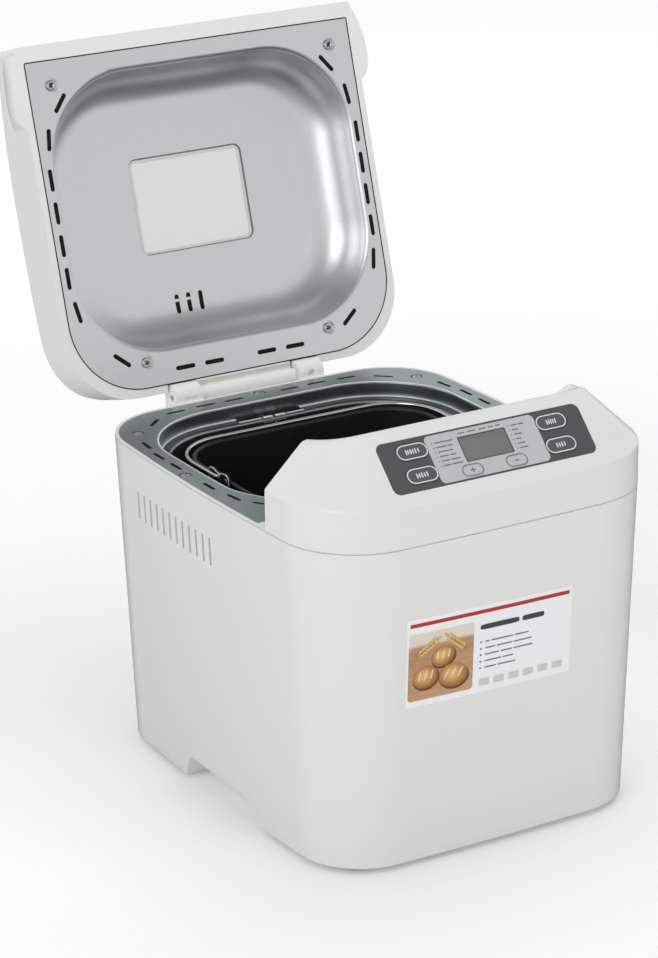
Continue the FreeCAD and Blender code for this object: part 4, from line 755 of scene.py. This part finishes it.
@dataclass
class ControlPanel(Detail):
    """Print on the overlay and on the keys: a pale field, outlines and plain bars."""

    slope: float = 44.6
    length: float = 36.8
    low_edge: float = 7.2
    print_thickness: float = 0.08
    key_stand: float = 0.4
    field_size: Pair = (83.4, 34.4)
    field_middle: float = 25.6
    field_corner: float = 3.6
    display_size: Pair = (35.4, 17.3)
    display_middle: float = 28.65
    display_corner: float = 0.6
    edge_gap: float = 1.0
    edge_corner: float = 0.9
    edge_band: float = 0.55
    round_key: Pair = (16.0, 8.5)
    round_key_x: float = 16.8
    round_key_height: float = 13.5
    wide_key: Pair = (23.5, 11.5)
    wide_key_x: float = 53.0
    wide_key_heights: Pair = (34.7, 17.5)
    opening_gap: float = 0.5
    wide_inset: float = 1.0
    wide_band: float = 0.75
    round_inset: float = 0.5
    round_band: float = 0.6
    list_pitch: float = 3.3
    list_mark: Pair = (0.7, 1.1)
    list_space: float = 0.8
    left_list_at: Triple = (-37.2, -35.6, 37.0)
    left_list: tuple[tuple[float, ...], ...] = (
        (14.0,), (8.0, 4.0), (11.5,), (7.0, 4.5), (6.5, 7.0), (6.0, 8.0))
    right_list_at: Triple = (21.2, 22.9, 38.0)
    right_list: tuple[tuple[float, ...], ...] = ((5.0, 4.4), (4.6,), (6.0,), (4.2,), (5.8,), (6.6,))
    heading_at: Pair = (-16.5, 40.2)
    heading_words: tuple[float, ...] = (5.6, 6.4, 5.8, 3.6, 3.4)
    heading_space: float = 1.9
    upright: Pair = (0.85, 3.6)
    upright_step: float = 0.5
    crossbar: float = 0.55
    crossbar_drop: float = 0.1
    sign: Pair = (3.6, 0.9)
    key_uprights: tuple[tuple[str, int, int, tuple[float, ...]], ...] = (
        ("key_upper_left", -1, 0, (-4.6, -3.1, -1.2, 0.6, 2.3, 4.4)),
        ("key_lower_left", -1, 1, (-4.0, -2.2, -0.3, 1.6, 3.6)),
        ("key_upper_right", 1, 0, (-3.2, -1.6, 0.0, 1.6, 3.2)),
        ("key_lower_right", 1, 1, (-3.2, -1.2, 0.8, 2.8)))

    def bench(self) -> Bench:
        """The overlay's face, its height counted from the crease below it."""
        low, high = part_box("control_overlay")
        turn = math.radians(self.slope)
        up = Vector((0, math.cos(turn), math.sin(turn)))
        edge = Vector((0, low.y, high.z - self.length * MM * up.z))
        return Bench(edge - up * self.low_edge * MM, Vector((1, 0, 0)), up)

    def build(self) -> None:
        """Make the whole print."""
        self.field()
        self.display_edge()
        self.lists()
        self.wide_keys()
        self.round_keys()

    def field(self) -> None:
        """Pale field with openings for the display and the two round keys."""
        field_plate = plate("panel_field", self.field_size, self.field_corner, self.print_thickness,
                            (0, self.field_middle))
        size = tuple(side + self.opening_gap for side in self.round_key)
        openings = [plate("opening", self.display_size, self.display_corner, CUTTER,
                          (0, self.display_middle), -CUTTER / 2)]
        for side in (-1, 1):
            openings.append(plate("opening", size, stadium(size), CUTTER,
                                  (side * self.round_key_x, self.round_key_height), -CUTTER / 2))
        cut(field_plate, joined("openings", openings))
        self.place(field_plate, "panel_silver", "overlay_film")

    def display_edge(self) -> None:
        """Dark line round the display."""
        size = tuple(side + self.edge_gap for side in self.display_size)
        line = plate("display_edge", size, self.edge_corner, self.print_thickness,
                     (0, self.display_middle), self.print_thickness, band=self.edge_band)
        self.place(line, "ink_dark", "overlay_film")

    def lists(self) -> None:
        """Bars in two columns beside the display and in a row above it."""
        bars = []
        for (mark_x, word_x, top), lines in ((self.left_list_at, self.left_list),
                                             (self.right_list_at, self.right_list)):
            for line, lengths in enumerate(lines):
                height = top - self.list_pitch * line
                bars.append((mark_x, height, *self.list_mark))
                bars += words(word_x, height, lengths, self.list_space)
        bars += words(*self.heading_at, self.heading_words, self.heading_space)
        print_rows = rows("panel_lists", bars, self.print_thickness, self.print_thickness)
        self.place(print_rows, "ink_grey", "overlay_film")

    def wide_keys(self) -> None:
        """White outline and bars on each of the four dark keys."""
        size = tuple(side - self.wide_inset for side in self.wide_key)
        for name, side, row, marks in self.key_uprights:
            centre = x, height = side * self.wide_key_x, self.wide_key_heights[row]
            across, up = self.upright
            bars = [(x + mark, height, across, up - self.upright_step * (index % 2))
                    for index, mark in enumerate(marks)]
            bars.append((x + marks[0] / 2, height - self.crossbar_drop, abs(marks[0]), self.crossbar))
            self.key_print(name, size, self.wide_band, centre, bars, "ink_white")

    def round_keys(self) -> None:
        """Grey outline on the two pale keys, with a plus on one and a minus on the other."""
        size = tuple(side - self.round_inset for side in self.round_key)
        for name, side in (("key_plus", -1), ("key_minus", 1)):
            centre = (side * self.round_key_x, self.round_key_height)
            bars = [(*centre, *self.sign)]
            if side < 0:
                bars.append((*centre, *self.sign[::-1]))
            self.key_print(name, size, self.round_band, centre, bars, "ink_grey")

    def key_print(self, name: str, size: Pair, band: float, centre: Pair, bars: Sequence[Bar],
                  ink: str) -> None:
        """Outline and bars on one key.

        Args:
            name: Name of the key.
            size: Width and height of the outline in millimetres.
            band: Width of the outline's line in millimetres.
            centre: Middle of the key in millimetres.
            bars: Middle, width and height of each bar in millimetres.
            ink: Name of the print's finish.
        """
        outline = plate(f"{name}_outline", size, stadium(size), self.print_thickness, centre,
                        self.key_stand, band=band)
        marks = rows(f"{name}_bars", bars, self.print_thickness, self.key_stand)
        self.place(joined(f"{name}_print", [outline, marks]), ink, "key_grey", f"{name}_body")


# ---- front label ----

@dataclass
class FrontLabel(Detail):
    """Paper label on the front wall: a picture of rolls and wheat, plain bars and a red band."""

    size: Pair = (127.5, 61.5)
    corner: float = 1.2
    centre_x: float = -9.2
    centre_height: float = 145.5
    lean: float = -1.0
    thickness: float = 0.12
    first_lift: float = 0.2
    stand_off: float = 20.0
    slice_width: float = 7.0
    band_margin: float = 2.5
    band_height: float = 2.6
    band_drop: float = 4.2
    picture: Pair = (49.0, 47.0)
    picture_at: Pair = (-37.5, -3.0)
    picture_corner: float = 2.5
    roll_places: tuple[tuple[float, float, float, float, float], ...] = (
        (-11.5, -8.0, 19.0, 15.5, 8.0), (9.5, -10.5, 22.0, 17.0, -6.0), (1.5, 4.5, 18.0, 14.0, 14.0))
    shade_growth: Pair = (1.0, 0.6)
    shade_shift: Pair = (0.6, -1.1)
    score_steps: tuple[float, ...] = (-0.24, 0.0, 0.24)
    score_width: float = 1.3
    score_share: float = 0.46
    score_rise: float = 0.10
    score_lean: float = 24.0
    ear_places: tuple[Triple, ...] = ((-10.5, 12.5, -58.0), (11.5, 12.5, 52.0))
    grain: Pair = (1.9, 4.4)
    grain_pairs: int = 6
    grain_aside: float = 1.35
    grain_pitch: float = 2.5
    grain_lean: float = 28.0
    ear_foot: float = -6.0
    ear_tip: float = 10.0
    stem: Pair = (0.6, 13.0)
    stem_middle: float = -3.5
    text_left: float = -8.0
    text_indent: float = 4.0
    line_top: float = 5.0
    line_pitch: float = 4.6
    word_space: float = 1.1
    bullet: float = 1.3
    bullet_x: float = -7.3
    lines: tuple[tuple[float, ...], ...] = (
        (3.5, 17.0, 11.0), (8.0, 12.0, 14.0), (11.0, 9.0, 15.0), (13.0, 8.0), (9.0, 14.0))
    title: tuple[Bar, ...] = ((7.0, 15.5, 30.0, 3.6), (33.0, 15.5, 17.0, 3.6))
    box: Pair = (8.0, 5.0)
    box_count: int = 6
    box_pitch: float = 11.5
    box_height: float = -23.5

    def bench(self) -> Bench:
        """Plane in front of the wall, leaning as the label does."""
        low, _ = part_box("body_shell")
        turn = math.radians(self.lean)
        across = Vector((math.cos(turn), 0, math.sin(turn)))
        up = Vector((-math.sin(turn), 0, math.cos(turn)))
        origin = Vector((self.centre_x * MM, low.y - self.stand_off * MM, self.centre_height * MM))
        return Bench(origin, across, up)

    def wrap(self, piece: Piece, layer: int, finish_name: str) -> None:
        """Press a flat sheet on to the wall and give it its thickness.

        Args:
            piece: Flat sheet on the working plane.
            layer: How many layers of the label lie under it.
            finish_name: Name of its finish.
        """
        pick(piece)
        bpy.ops.object.mode_set(mode="EDIT")
        half = self.size[0] / 2
        count = math.ceil(self.size[0] / self.slice_width)
        for index in range(1, count):
            bpy.ops.mesh.select_all(action="SELECT")
            place = (-half + index * self.size[0] / count) * MM
            bpy.ops.mesh.bisect(plane_co=(place, 0, 0), plane_no=(1, 0, 0))
        bpy.ops.object.mode_set(mode="OBJECT")
        settle(piece, self.bench().matrix())
        apply_modifier(piece, "press", "SHRINKWRAP", target=frame["nodes"]["body_shell"],
                       wrap_method="PROJECT", use_project_y=True, use_positive_direction=True,
                       use_negative_direction=False)
        lift = self.thickness * (layer + self.first_lift) * MM
        apply_modifier(piece, "paper", "SOLIDIFY", thickness=self.thickness * MM, offset=1.0)
        settle(piece, Matrix.Translation((0, -lift, 0)))
        finish(piece, self.finishes[finish_name], "housing", "shell_white")

    def build(self) -> None:
        """Make the paper and its print."""
        self.wrap(plate("label_paper", self.size, self.corner, 0), 0, "label_paper")
        width, height = self.size
        band = plate("label_band", (width - 2 * self.band_margin, self.band_height), 0.3, 0,
                     (0, height / 2 - self.band_drop))
        self.wrap(band, 1, "ink_red")
        picture = plate("label_picture", self.picture, self.picture_corner, 0, self.picture_at)
        self.wrap(picture, 1, "board_print")
        self.rolls()
        self.wheat()
        self.bars()

    def rolls(self) -> None:
        """Three round rolls, each with a shadow and three scores."""
        x, y = self.picture_at
        shadows, crusts, scores = [], [], []

        def oval(name: str, size: Pair, centre: Pair,
                 turn: float) -> Piece:
            """Flat oval on the label."""
            return plate(name, size, 0, 0, centre, turn=turn, edge=Edge.ROUND)

        for across, up, width, height, turn in self.roll_places:
            middle = (x + across, y + up)
            shade_size = (width + self.shade_growth[0], height + self.shade_growth[1])
            shade_middle = (middle[0] + self.shade_shift[0], middle[1] + self.shade_shift[1])
            shadows.append(oval("shade", shade_size, shade_middle, turn))
            crusts.append(oval("crust", (width, height), middle, turn))
            for step in self.score_steps:
                place = (middle[0] + width * step, middle[1] + height * self.score_rise)
                size = (self.score_width, height * self.score_share)
                scores.append(oval("score", size, place, turn - self.score_lean))
        self.wrap(joined("label_roll_shadows", shadows), 2, "ink_brown")
        self.wrap(joined("label_rolls", crusts), 3, "crust_print")
        self.wrap(joined("label_roll_scores", scores), 4, "ink_cream")

    def wheat(self) -> None:
        """Two ears of wheat over the rolls, with grains in pairs along a stem."""
        x, y = self.picture_at
        grains, stems = [], []
        one = plate("grain", self.grain, 0, 0, edge=Edge.ROUND)
        for across, up, lean in self.ear_places:
            root = spot(x + across, y + up) @ heading(lean)
            for step in range(self.grain_pairs):
                for side in (-1, 1):
                    seat = spot(side * self.grain_aside, step * self.grain_pitch + self.ear_foot)
                    grains.append(copied(one, root @ seat @ heading(-side * self.grain_lean)))
            grains.append(copied(one, root @ spot(0, self.ear_tip)))
            stems.append(settle(plate("stem", self.stem, 0.2, 0, (0, self.stem_middle)), root))
        bpy.data.objects.remove(one)
        self.wrap(joined("label_stems", stems), 2, "ink_green")
        self.wrap(joined("label_grains", grains), 3, "grain_print")

    def bars(self) -> None:
        """Heading, lines and a row of pale boxes beside the picture."""
        lines = []
        start = self.text_left + self.text_indent
        for line, lengths in enumerate(self.lines):
            height = self.line_top - self.line_pitch * line
            lines.append((self.bullet_x, height, self.bullet, self.bullet))
            lines += words(start, height, lengths, self.word_space)
        self.wrap(rows("label_lines", lines, 0, 0), 1, "ink_grey")
        self.wrap(rows("label_heading", self.title, 0, 0), 1, "ink_dark")
        boxes = [(start + self.box_pitch * step, self.box_height, *self.box)
                 for step in range(self.box_count)]
        self.wrap(rows("label_boxes", boxes, 0, 0), 1, "ink_pale")


# ---- screws ----

@dataclass
class CrossScrews(Detail):
    """Pan-head screws: the heads of a node, each given a cross recess, with painted shade in the recess and
    round the head.
    """

    node: str
    body: str
    out: Vector
    blade: Pair = (3.7, 0.8)
    depth: float = 0.9
    head_height: float = 1.6
    turns: Pair = (38.0, 128.0)
    recess_shade_gap: float = 0.06
    recess_shade_thickness: float = 0.08
    ring_growth: float = 1.1
    ring_band: float = 0.5
    ring_thickness: float = 0.1
    shades: list[Piece] = field(default_factory=list)

    def build(self) -> None:
        """Copy the node's screws and cut a recess into each head."""
        opened_copy(self.node)
        bpy.ops.mesh.separate(type="LOOSE")
        bpy.ops.object.mode_set(mode="OBJECT")
        heads = [self.recessed(head) for head in list(bpy.context.selected_objects)]
        screws = joined(f"{self.node}_crossed", heads)
        smoothed(screws, 35)
        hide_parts(self.node)
        finish(screws, self.finishes["zinc_steel"], self.body, "zinc_steel")
        shades = joined(f"{self.node}_shade", self.shades)
        finish(shades, self.finishes["painted_shade_black"], self.body, "zinc_steel")

    def recessed(self, head: Piece) -> Piece:
        """Cut the cross into the top of one screw, lay painted shade in it as a dark cross and lay a dark
        ring of painted shade round its foot.
        """
        points = [vertex.co.copy() for vertex in head.data.vertices]
        top = max(point.dot(self.out) for point in points)
        middle = sum(points, Vector()) / len(points)
        middle += self.out * (top - self.depth * MM - middle.dot(self.out))
        across = Vector((1, 0, 0))
        up = self.out.cross(across)
        seat = Bench(middle, across, up).matrix()
        recess_shade_size = tuple(side - self.recess_shade_gap for side in self.blade)
        for turn in self.turns:
            arm = plate("arm", self.blade, 0.3, self.depth + 1.0, turn=turn)
            cut(head, settle(arm, seat))
            # Painted shade: a dark cross at the bottom of the recess.
            recess_shade = plate("recess_shade", recess_shade_size, 0.25, self.recess_shade_thickness, turn=turn)
            self.shades.append(settle(recess_shade, seat))
        width = max(point.x for point in points) - min(point.x for point in points)
        rim = width / MM + self.ring_growth
        # Painted shade: a dark ring round the head's foot.
        ring = plate("ring", (rim, rim), 0, self.ring_thickness, band=self.ring_band, edge=Edge.ROUND)
        foot = middle + self.out * (self.depth - self.head_height) * MM
        self.shades.append(settle(ring, Bench(foot, across, up).matrix()))
        return head


# ---- lid ----

@dataclass
class LidDetail(Detail):
    """Small work on the open lid: painted shade along the liner's seam, in a ring round the window and behind
    the slots, the window's bead, steam bridges and the arm's channel with its floor in painted shade.
    """

    open_angle: float = 106.5
    window_size: Pair = (92.0, 69.4)
    window_corner: float = 6.0
    window_reach: float = 135.65
    edging_band: float = 2.0
    gap_thickness: float = 0.25
    bead_inset: float = 1.6
    bead_thickness: float = 0.75
    bead_rounding: float = 0.32
    bead_shift: Pair = (-0.6, -0.24)
    seam_gap: float = 0.5
    seam_band: float = 0.75
    line_thickness: float = 0.1
    line_lift: float = 0.02
    front_corner: float = 1.5
    rear_corner: float = 53.0
    dish_depth: float = 36.0
    sheet: float = 0.8
    shade_pad_size: Pair = (18.0, 4.6)
    shade_pad_thickness: float = 0.4
    slots: tuple[Triple, ...] = (
        (124.0, 165.0, 90), (124.0, 142.0, 90), (124.0, 119.0, 90), (124.0, 96.0, 90),
        (120.6, 192.7, -82), (121.0, 71.7, 80), (107.5, 216.7, -52),
        (21.5, 20.2, 0), (45.0, 20.2, 0), (93.4, 32.9, 40))
    shade_pad_gap: float = 0.1
    patch_size: Pair = (30.0, 18.0)
    steam_slots: tuple[float, ...] = (-25.0, -15.5, -5.7)
    steam_reach: float = 63.25
    bridge: Pair = (3.3, 2.0)
    bridge_rise: float = 2.6
    bridge_thickness: float = 0.5
    bridge_depth: float = 0.75
    channel_size: Pair = (76.0, 3.9)
    channel_reach: float = 6.9
    lip_widths: Pair = (0.7, 0.5)
    lip_height: float = 0.55

    def bench(self) -> Bench:
        """The liner's flat margin, its height counted from the hinge to the handle."""
        turn = math.radians(180.0 - self.open_angle)
        up = Vector((0, math.cos(turn), math.sin(turn)))
        low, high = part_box("hinge_pins")
        middle = (low + high) / 2
        return Bench(Vector((0, middle.y, middle.z)), Vector((1, 0, 0)), up)

    def outward(self) -> Vector:
        """The way out of the liner."""
        bench = self.bench()
        return bench.across.cross(bench.up)

    def build(self) -> None:
        """Make the small work and the liner's screws."""
        self.seam()
        self.window_edging()
        self.slot_shade()
        self.steam_bridges()
        self.arm_channel()
        CrossScrews(self.finishes, "lid_screws", "lid", self.outward()).build()

    def seam(self) -> None:
        """Painted shade: dark line of the gap between the liner and the rim of the shell."""
        low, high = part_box("lid_liner")
        inside = self.bench().matrix().inverted()
        reaches = [(inside @ vertex.co).y for vertex in frame["nodes"]["lid_liner"].data.vertices]
        near, far = min(reaches) / MM, max(reaches) / MM
        size = (high.x - low.x) / MM + self.seam_gap, far - near + self.seam_gap
        line = plate("liner_seam", size, (self.front_corner, self.rear_corner), self.line_thickness,
                     (0.0, (near + far) / 2), self.line_lift, band=self.seam_band)
        self.place(line, "painted_shade_black", "liner_steel", "lid")

    def window_edging(self) -> None:
        """A dark ring of painted shade at the window's gap and a pale rolled bead round the window, on the
        inner pane.
        """
        floor = -self.dish_depth - self.sheet
        # Painted shade: this dark ring stands for the shade in the gap round the window.
        gap = plate("window_gap", self.window_size, self.window_corner, self.gap_thickness,
                    (0.0, self.window_reach), floor, band=self.edging_band)
        self.place(gap, "ink_grey", "gasket_silicone", "lid")
        size = tuple(side - self.bead_inset for side in self.window_size)
        across, up = self.bead_shift
        bead = plate("window_bead", size, self.window_corner - 1.0, self.bead_thickness,
                     (across, self.window_reach + up), floor, band=self.edging_band)
        self.place(rolled(bead, self.bead_rounding), "bead_silicone", "gasket_silicone", "lid")

    def slot_shade(self) -> None:
        """Painted shade: dark pads close behind each slot of the margin and of the dish."""
        top = -self.sheet - self.shade_pad_gap - self.shade_pad_thickness
        # Painted shade: the pads and the patch darken what is seen through the slots.
        pads = slot_shade_pads(self.shade_pad_size, self.shade_pad_thickness, self.slots, top)
        patch = plate("patch", self.patch_size, 2.0, self.shade_pad_thickness,
                      (self.steam_slots[1], self.steam_reach), top - self.dish_depth)
        self.place(joined("lid_slot_shade", pads + [patch]), "painted_shade_black", "liner_steel", "lid")

    def arm_channel(self) -> None:
        """Shallow channel along the rear rim, over the hinge arm: its floor, darker as painted shade, and its
        two lips.
        """
        width, height = self.channel_size
        # Painted shade: the floor plate is darker than the shell to stand for the channel's shade.
        floor = plate("arm_channel_floor", self.channel_size, (0.3, height * 0.8), self.line_thickness,
                      (0, self.channel_reach), self.line_lift)
        self.place(floor, "painted_channel_shade", "hinge_white", "lid")
        lower, upper = self.lip_widths
        edges = [(0, self.channel_reach - height / 2, width - height, lower),
                 (0, self.channel_reach + height / 2, width, upper)]
        self.place(rows("arm_channel_lips", edges, self.lip_height, 0.0), "hinge_white", "hinge_white", "lid")

    def steam_bridges(self) -> None:
        """Bars that cross two of the steam slots."""
        bars = [(x, self.steam_reach + self.bridge_rise, *self.bridge) for x in self.steam_slots[:2]]
        bridges = rows("steam_bridges", bars, self.bridge_thickness, -self.dish_depth - self.bridge_depth)
        self.place(bridges, "liner_steel", "liner_steel", "lid")


# ---- deck and pan ----

@dataclass
class OvenDetail(Detail):
    """Small work on the oven: painted shade under the deck's slots and on the chamber's flange, painted
    highlights along the edges of the mouth, the collar and the ears, the rim's line and the screws.
    """

    shade_pad_size: Pair = (17.5, 4.2)
    shade_pad_thickness: float = 0.4
    deck_sheet: float = 0.8
    half_depth: float = 163.25
    slots: tuple[Triple, ...] = (
        (22.7, 150.5, 0), (45.5, 151.0, 0), (69.7, 149.5, -4), (93.5, 137.5, -42),
        (120.5, 98.4, -84), (123.8, 74.3, 90), (123.8, 50.4, 90), (123.9, 4.1, 90),
        (120.5, -23.5, 84), (110.2, -44.2, 55))
    shade_pad_gap: float = 0.1
    opening: Pair = (230.0, 199.5)
    opening_corner: float = 65.0
    collar_drop: float = 11.5
    edge_width: float = 1.5
    edge_thickness: float = 0.9
    edge_rounding: float = 0.3
    fold_drop: float = 1.0
    foot_rise: float = 0.2
    tab_rise: float = 0.1
    strap_gap: Pair = (-28.0, 24.0)
    gap_depth: float = 20.0
    gap_drop: float = 1.5
    strap_tabs: tuple[Triple, ...] = (
        (-5.6, 7.4, 2.6), (4.6, 8.6, 2.6), (-20.0, 18.0, 1.2), (17.0, 14.0, 1.2))
    flange_gap: float = 0.2
    flange_band: float = 5.2
    flange_thickness: float = 0.12
    flange_rise: float = 0.03
    line_drop: float = 1.0
    line_front: float = 76.0
    line_radius: float = 0.14
    ear_height: float = 8.0
    ear_inset: float = 0.9
    ear_edge_radius: float = 0.3
    chamber_length: float = 185.5

    def build(self) -> None:
        """Make the small work and the screws of the deck and the base."""
        self.slot_shade()
        self.mouth_edge()
        self.collar_edge()
        self.flange_shade()
        self.rim_line()
        self.ear_edges()
        CrossScrews(self.finishes, "deck_screws", "housing", Vector((0, 0, 1)), (3.2, 0.7), 0.8).build()
        CrossScrews(self.finishes, "base_screws", "housing", Vector((0, 0, -1)), (3.4, 0.8), 0.8).build()

    def rim(self) -> float:
        """Height of the housing's rim in millimetres."""
        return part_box("body_shell")[1].z / MM

    def middle(self) -> Pair:
        """Plan centre of the oven in millimetres."""
        low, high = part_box("chamber")
        return 0.0, (low.y + high.y) / 2 / MM

    def edge_ring(self, name: str, growth: float, height: float) -> Piece:
        """Narrow ring round the oven's opening, grown by a width at a height in millimetres."""
        size = tuple(side + 2 * growth for side in self.opening)
        return plate(name, size, self.opening_corner + growth, self.edge_thickness, self.middle(), height,
                     band=self.edge_width)

    def strap_cutter(self) -> Piece:
        """Block over the gap that the collar leaves for the chamber's strap."""
        start, end = self.strap_gap
        place = ((start + end) / 2, self.middle()[1] + self.opening[1] / 2)
        return plate("gap", (end - start, self.gap_depth), 0, CUTTER, place,
                     self.rim() - self.collar_drop - self.gap_drop)

    def mouth_edge(self) -> None:
        """Painted highlight: a bright ring on the deck's fold round the oven's mouth."""
        fold = self.edge_ring("mouth_edge", self.edge_width, self.rim() - self.fold_drop)
        self.place(rolled(fold, self.edge_rounding), "painted_highlight", "deck_steel")

    def collar_edge(self) -> None:
        """Painted highlight: a bright ring at the foot of the collar, open at the strap, and bright tabs on
        the strap.
        """
        low = self.rim() - self.collar_drop
        foot = self.edge_ring("collar_edge", 0.0, low + self.foot_rise)
        cut(foot, self.strap_cutter())
        seam = self.middle()[1] + self.chamber_length / 2
        bars = [(x, seam, width, height) for x, width, height in self.strap_tabs]
        tabs = rows("tabs", bars, self.edge_thickness, low + self.tab_rise)
        edges = [rolled(ring, self.edge_rounding) for ring in (foot, tabs)]
        self.place(joined("collar_edge", edges), "painted_highlight", "chamber_steel")

    def flange_shade(self) -> None:
        """Painted shade: a dark ring on the chamber's flange inside the collar's foot."""
        inside = tuple(side - 2 * self.edge_width - self.flange_gap for side in self.opening)
        flange = plate("flange_shade", inside, self.opening_corner - self.edge_width, self.flange_thickness,
                       self.middle(), self.rim() - self.collar_drop + self.flange_rise, band=self.flange_band)
        cut(flange, self.strap_cutter())
        self.place(flange, "painted_flange_shade", "chamber_steel")

    def rim_line(self) -> None:
        """Fine line under the rolled top edge of the housing's walls."""
        low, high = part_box("body_shell")
        height = Vector((0, 0, high.z - self.line_drop * MM))
        behind = Vector((0, low.y + self.line_front * MM, 0))
        line = section_line("rim_line", "body_shell", (height, Vector((0, 0, 1))),
                            (behind, Vector((0, 1, 0))), self.line_radius)
        self.place(line, "ink_grey", "shell_white")

    def ear_edges(self) -> None:
        """Painted highlights along the edges of the pan's two ears."""
        low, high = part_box("handle_ears")
        above = Vector((0, 0, high.z - self.ear_height * MM)), Vector((0, 0, 1))
        sides = []
        for side in (-1, 1):
            across = Vector((side * (high.x - self.ear_inset * MM), 0, 0)), Vector((1, 0, 0))
            sides.append(section_line("ear_edge", "handle_ears", across, above, self.ear_edge_radius))
        self.place(joined("ear_edges", sides), "painted_highlight", "bright_wire", "pan")

    def slot_shade(self) -> None:
        """Painted shade: dark pads under each slot of the deck."""
        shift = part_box("body_shell")[0].y / MM + self.half_depth
        lift = self.rim() - self.deck_sheet - self.shade_pad_gap - self.shade_pad_thickness
        pads = slot_shade_pads(self.shade_pad_size, self.shade_pad_thickness, self.slots, lift, shift)
        self.place(joined("deck_slot_shade", pads), "painted_shade_black", "deck_steel")


# ---- studio ----

@dataclass(frozen=True)
class Lamp:
    """Square soft light: its place, the length of its side, its power and whether metal mirrors it."""

    name: str
    place: Triple
    size: float
    power: float
    mirrored: bool = True


@dataclass
class Studio:
    """Pale floor, soft lights in a pale surround, and the camera."""

    azimuth: float = -31.231
    elevation: float = 21.417
    roll: float = 0.634
    distance: float = 2.38776
    target_height: float = 0.150
    hood_to_centre: float = 0.16325
    lens: float = 130.77
    sensor_width: float = 36.0
    view_end: float = 100.0
    shift: Pair = (-0.0461, 0.0867)
    floor_size: float = 60.0
    floor_grey: float = 0.95
    glow_start: float = 0.35
    glow_rate: float = 0.7
    glow_near: float = 0.13
    glow_far: float = 0.42
    lamps: tuple[Lamp, ...] = (
        Lamp("key_left", (-2.2, -1.2, 1.6), 1.8, 17.0),
        Lamp("top_soft", (0.3, 0.2, 2.6), 2.2, 29.0, mirrored=False),
        Lamp("front_right", (1.8, -2.4, 1.1), 1.6, 4.5, mirrored=False))
    surround: tuple[Pair, ...] = (
        (0.0, 0.05), (0.42, 0.12), (0.50, 0.85), (0.70, 0.68), (0.85, 0.31), (1.0, 0.22))

    def build(self) -> None:
        """Make the floor, the lights and the camera."""
        self.floor()
        self.sky()
        for lamp in self.lamps:
            self.light(lamp)
        self.camera()
        bpy.context.scene.view_settings.view_transform = "Standard"

    def target(self) -> Vector:
        """Point that the camera looks at: over the middle of the housing."""
        low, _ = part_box("body_shell")
        return Vector((0, low.y + self.hood_to_centre, self.target_height))

    def camera(self) -> None:
        """Set the camera at the viewing angle."""
        lens = bpy.data.cameras.new("camera")
        lens.lens = self.lens
        lens.sensor_width = self.sensor_width
        lens.shift_x, lens.shift_y = self.shift
        lens.clip_end = self.view_end
        eye = bpy.data.objects.new("camera", lens)
        turn, lift = math.radians(self.azimuth), math.radians(self.elevation)
        back = Vector((math.sin(turn) * math.cos(lift), -math.cos(turn) * math.cos(lift), math.sin(lift)))
        facing = back.to_track_quat("Z", "Y").to_matrix().to_4x4()
        place = Matrix.Translation(self.target() + back * self.distance)
        eye.matrix_world = place @ facing @ heading(-self.roll)
        bpy.context.scene.collection.objects.link(eye)
        bpy.context.scene.camera = eye

    def floor(self) -> None:
        """Plain pale floor that glows a little more the farther it lies from the machine."""
        deselect()
        bpy.ops.mesh.primitive_plane_add(size=self.floor_size, location=(0, 0, 0))
        floor = bpy.context.object
        floor.name = "floor"
        tree = Tree("floor_paper")
        where = tree.node("ShaderNodeTexCoord", output="Object")
        away = tree.node("ShaderNodeVectorMath", {"operation": "LENGTH"}, {0: where}, "Value")
        far = ((away - self.glow_start) * self.glow_rate).clamped()
        floor.data.materials.append(tree.principled(
            Base_Color=(*(self.floor_grey,) * 3, 1), Roughness=0.9,
            Emission_Color=tree.blend(far, (self.glow_near,) * 3, (self.glow_far,) * 3),
            Emission_Strength=1.0))
        floor.visible_glossy = False

    def sky(self) -> None:
        """Surround that is pale at eye level and darker below and overhead."""
        tree = Tree("studio", surround=True)
        way = tree.node("ShaderNodeTexCoord", output="Generated")
        height = tree.node("ShaderNodeSeparateXYZ", None, {"Vector": way}, "Z") * 0.5 + 0.5
        stops = [(place, (grey, grey, grey, 1)) for place, grey in self.surround]
        fade = tree.node("ShaderNodeValToRGB", {"stops": stops}, {"Fac": height}, "Color")
        bpy.context.scene.world = tree.surface(tree.node("ShaderNodeBackground", None, {"Color": fade}))

    def light(self, lamp: Lamp) -> None:
        """Set up a lamp that faces the machine."""
        area = bpy.data.lights.new(lamp.name, "AREA")
        area.size = lamp.size
        area.energy = lamp.power
        stand = bpy.data.objects.new(lamp.name, area)
        place = Vector(lamp.place)
        aim = (self.target() - place).to_track_quat("-Z", "Y").to_matrix().to_4x4()
        stand.matrix_world = Matrix.Translation(place) @ aim
        stand.visible_glossy = lamp.mirrored
        bpy.context.scene.collection.objects.link(stand)


def dress_nodes(finishes: Finishes) -> None:
    """Give every CAD node the finish that its record slot names, and the two round keys the pale one."""
    slots = {item["node"]: item["material_slot"] for item in frame["record"]["subparts"]}
    slots.update({"key_plus": "panel_silver", "key_minus": "panel_silver"})
    for name, node in frame["nodes"].items():
        node.data.materials.clear()
        node.data.materials.append(finishes[slots[name]])


def main() -> None:
    """Dress the nodes, build each sub-assembly in order and set up the studio."""
    logging.basicConfig(level=logging.INFO, format="%(name)s: %(message)s")
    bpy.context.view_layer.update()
    finishes = Finishes()
    dress_nodes(finishes)
    for kind in (ControlPanel, FrontLabel, LidDetail, OvenDetail):
        log.info("building %s", kind.__name__)
        kind(finishes).build()
    Studio().build()


if __name__ == "__main__":
    main()
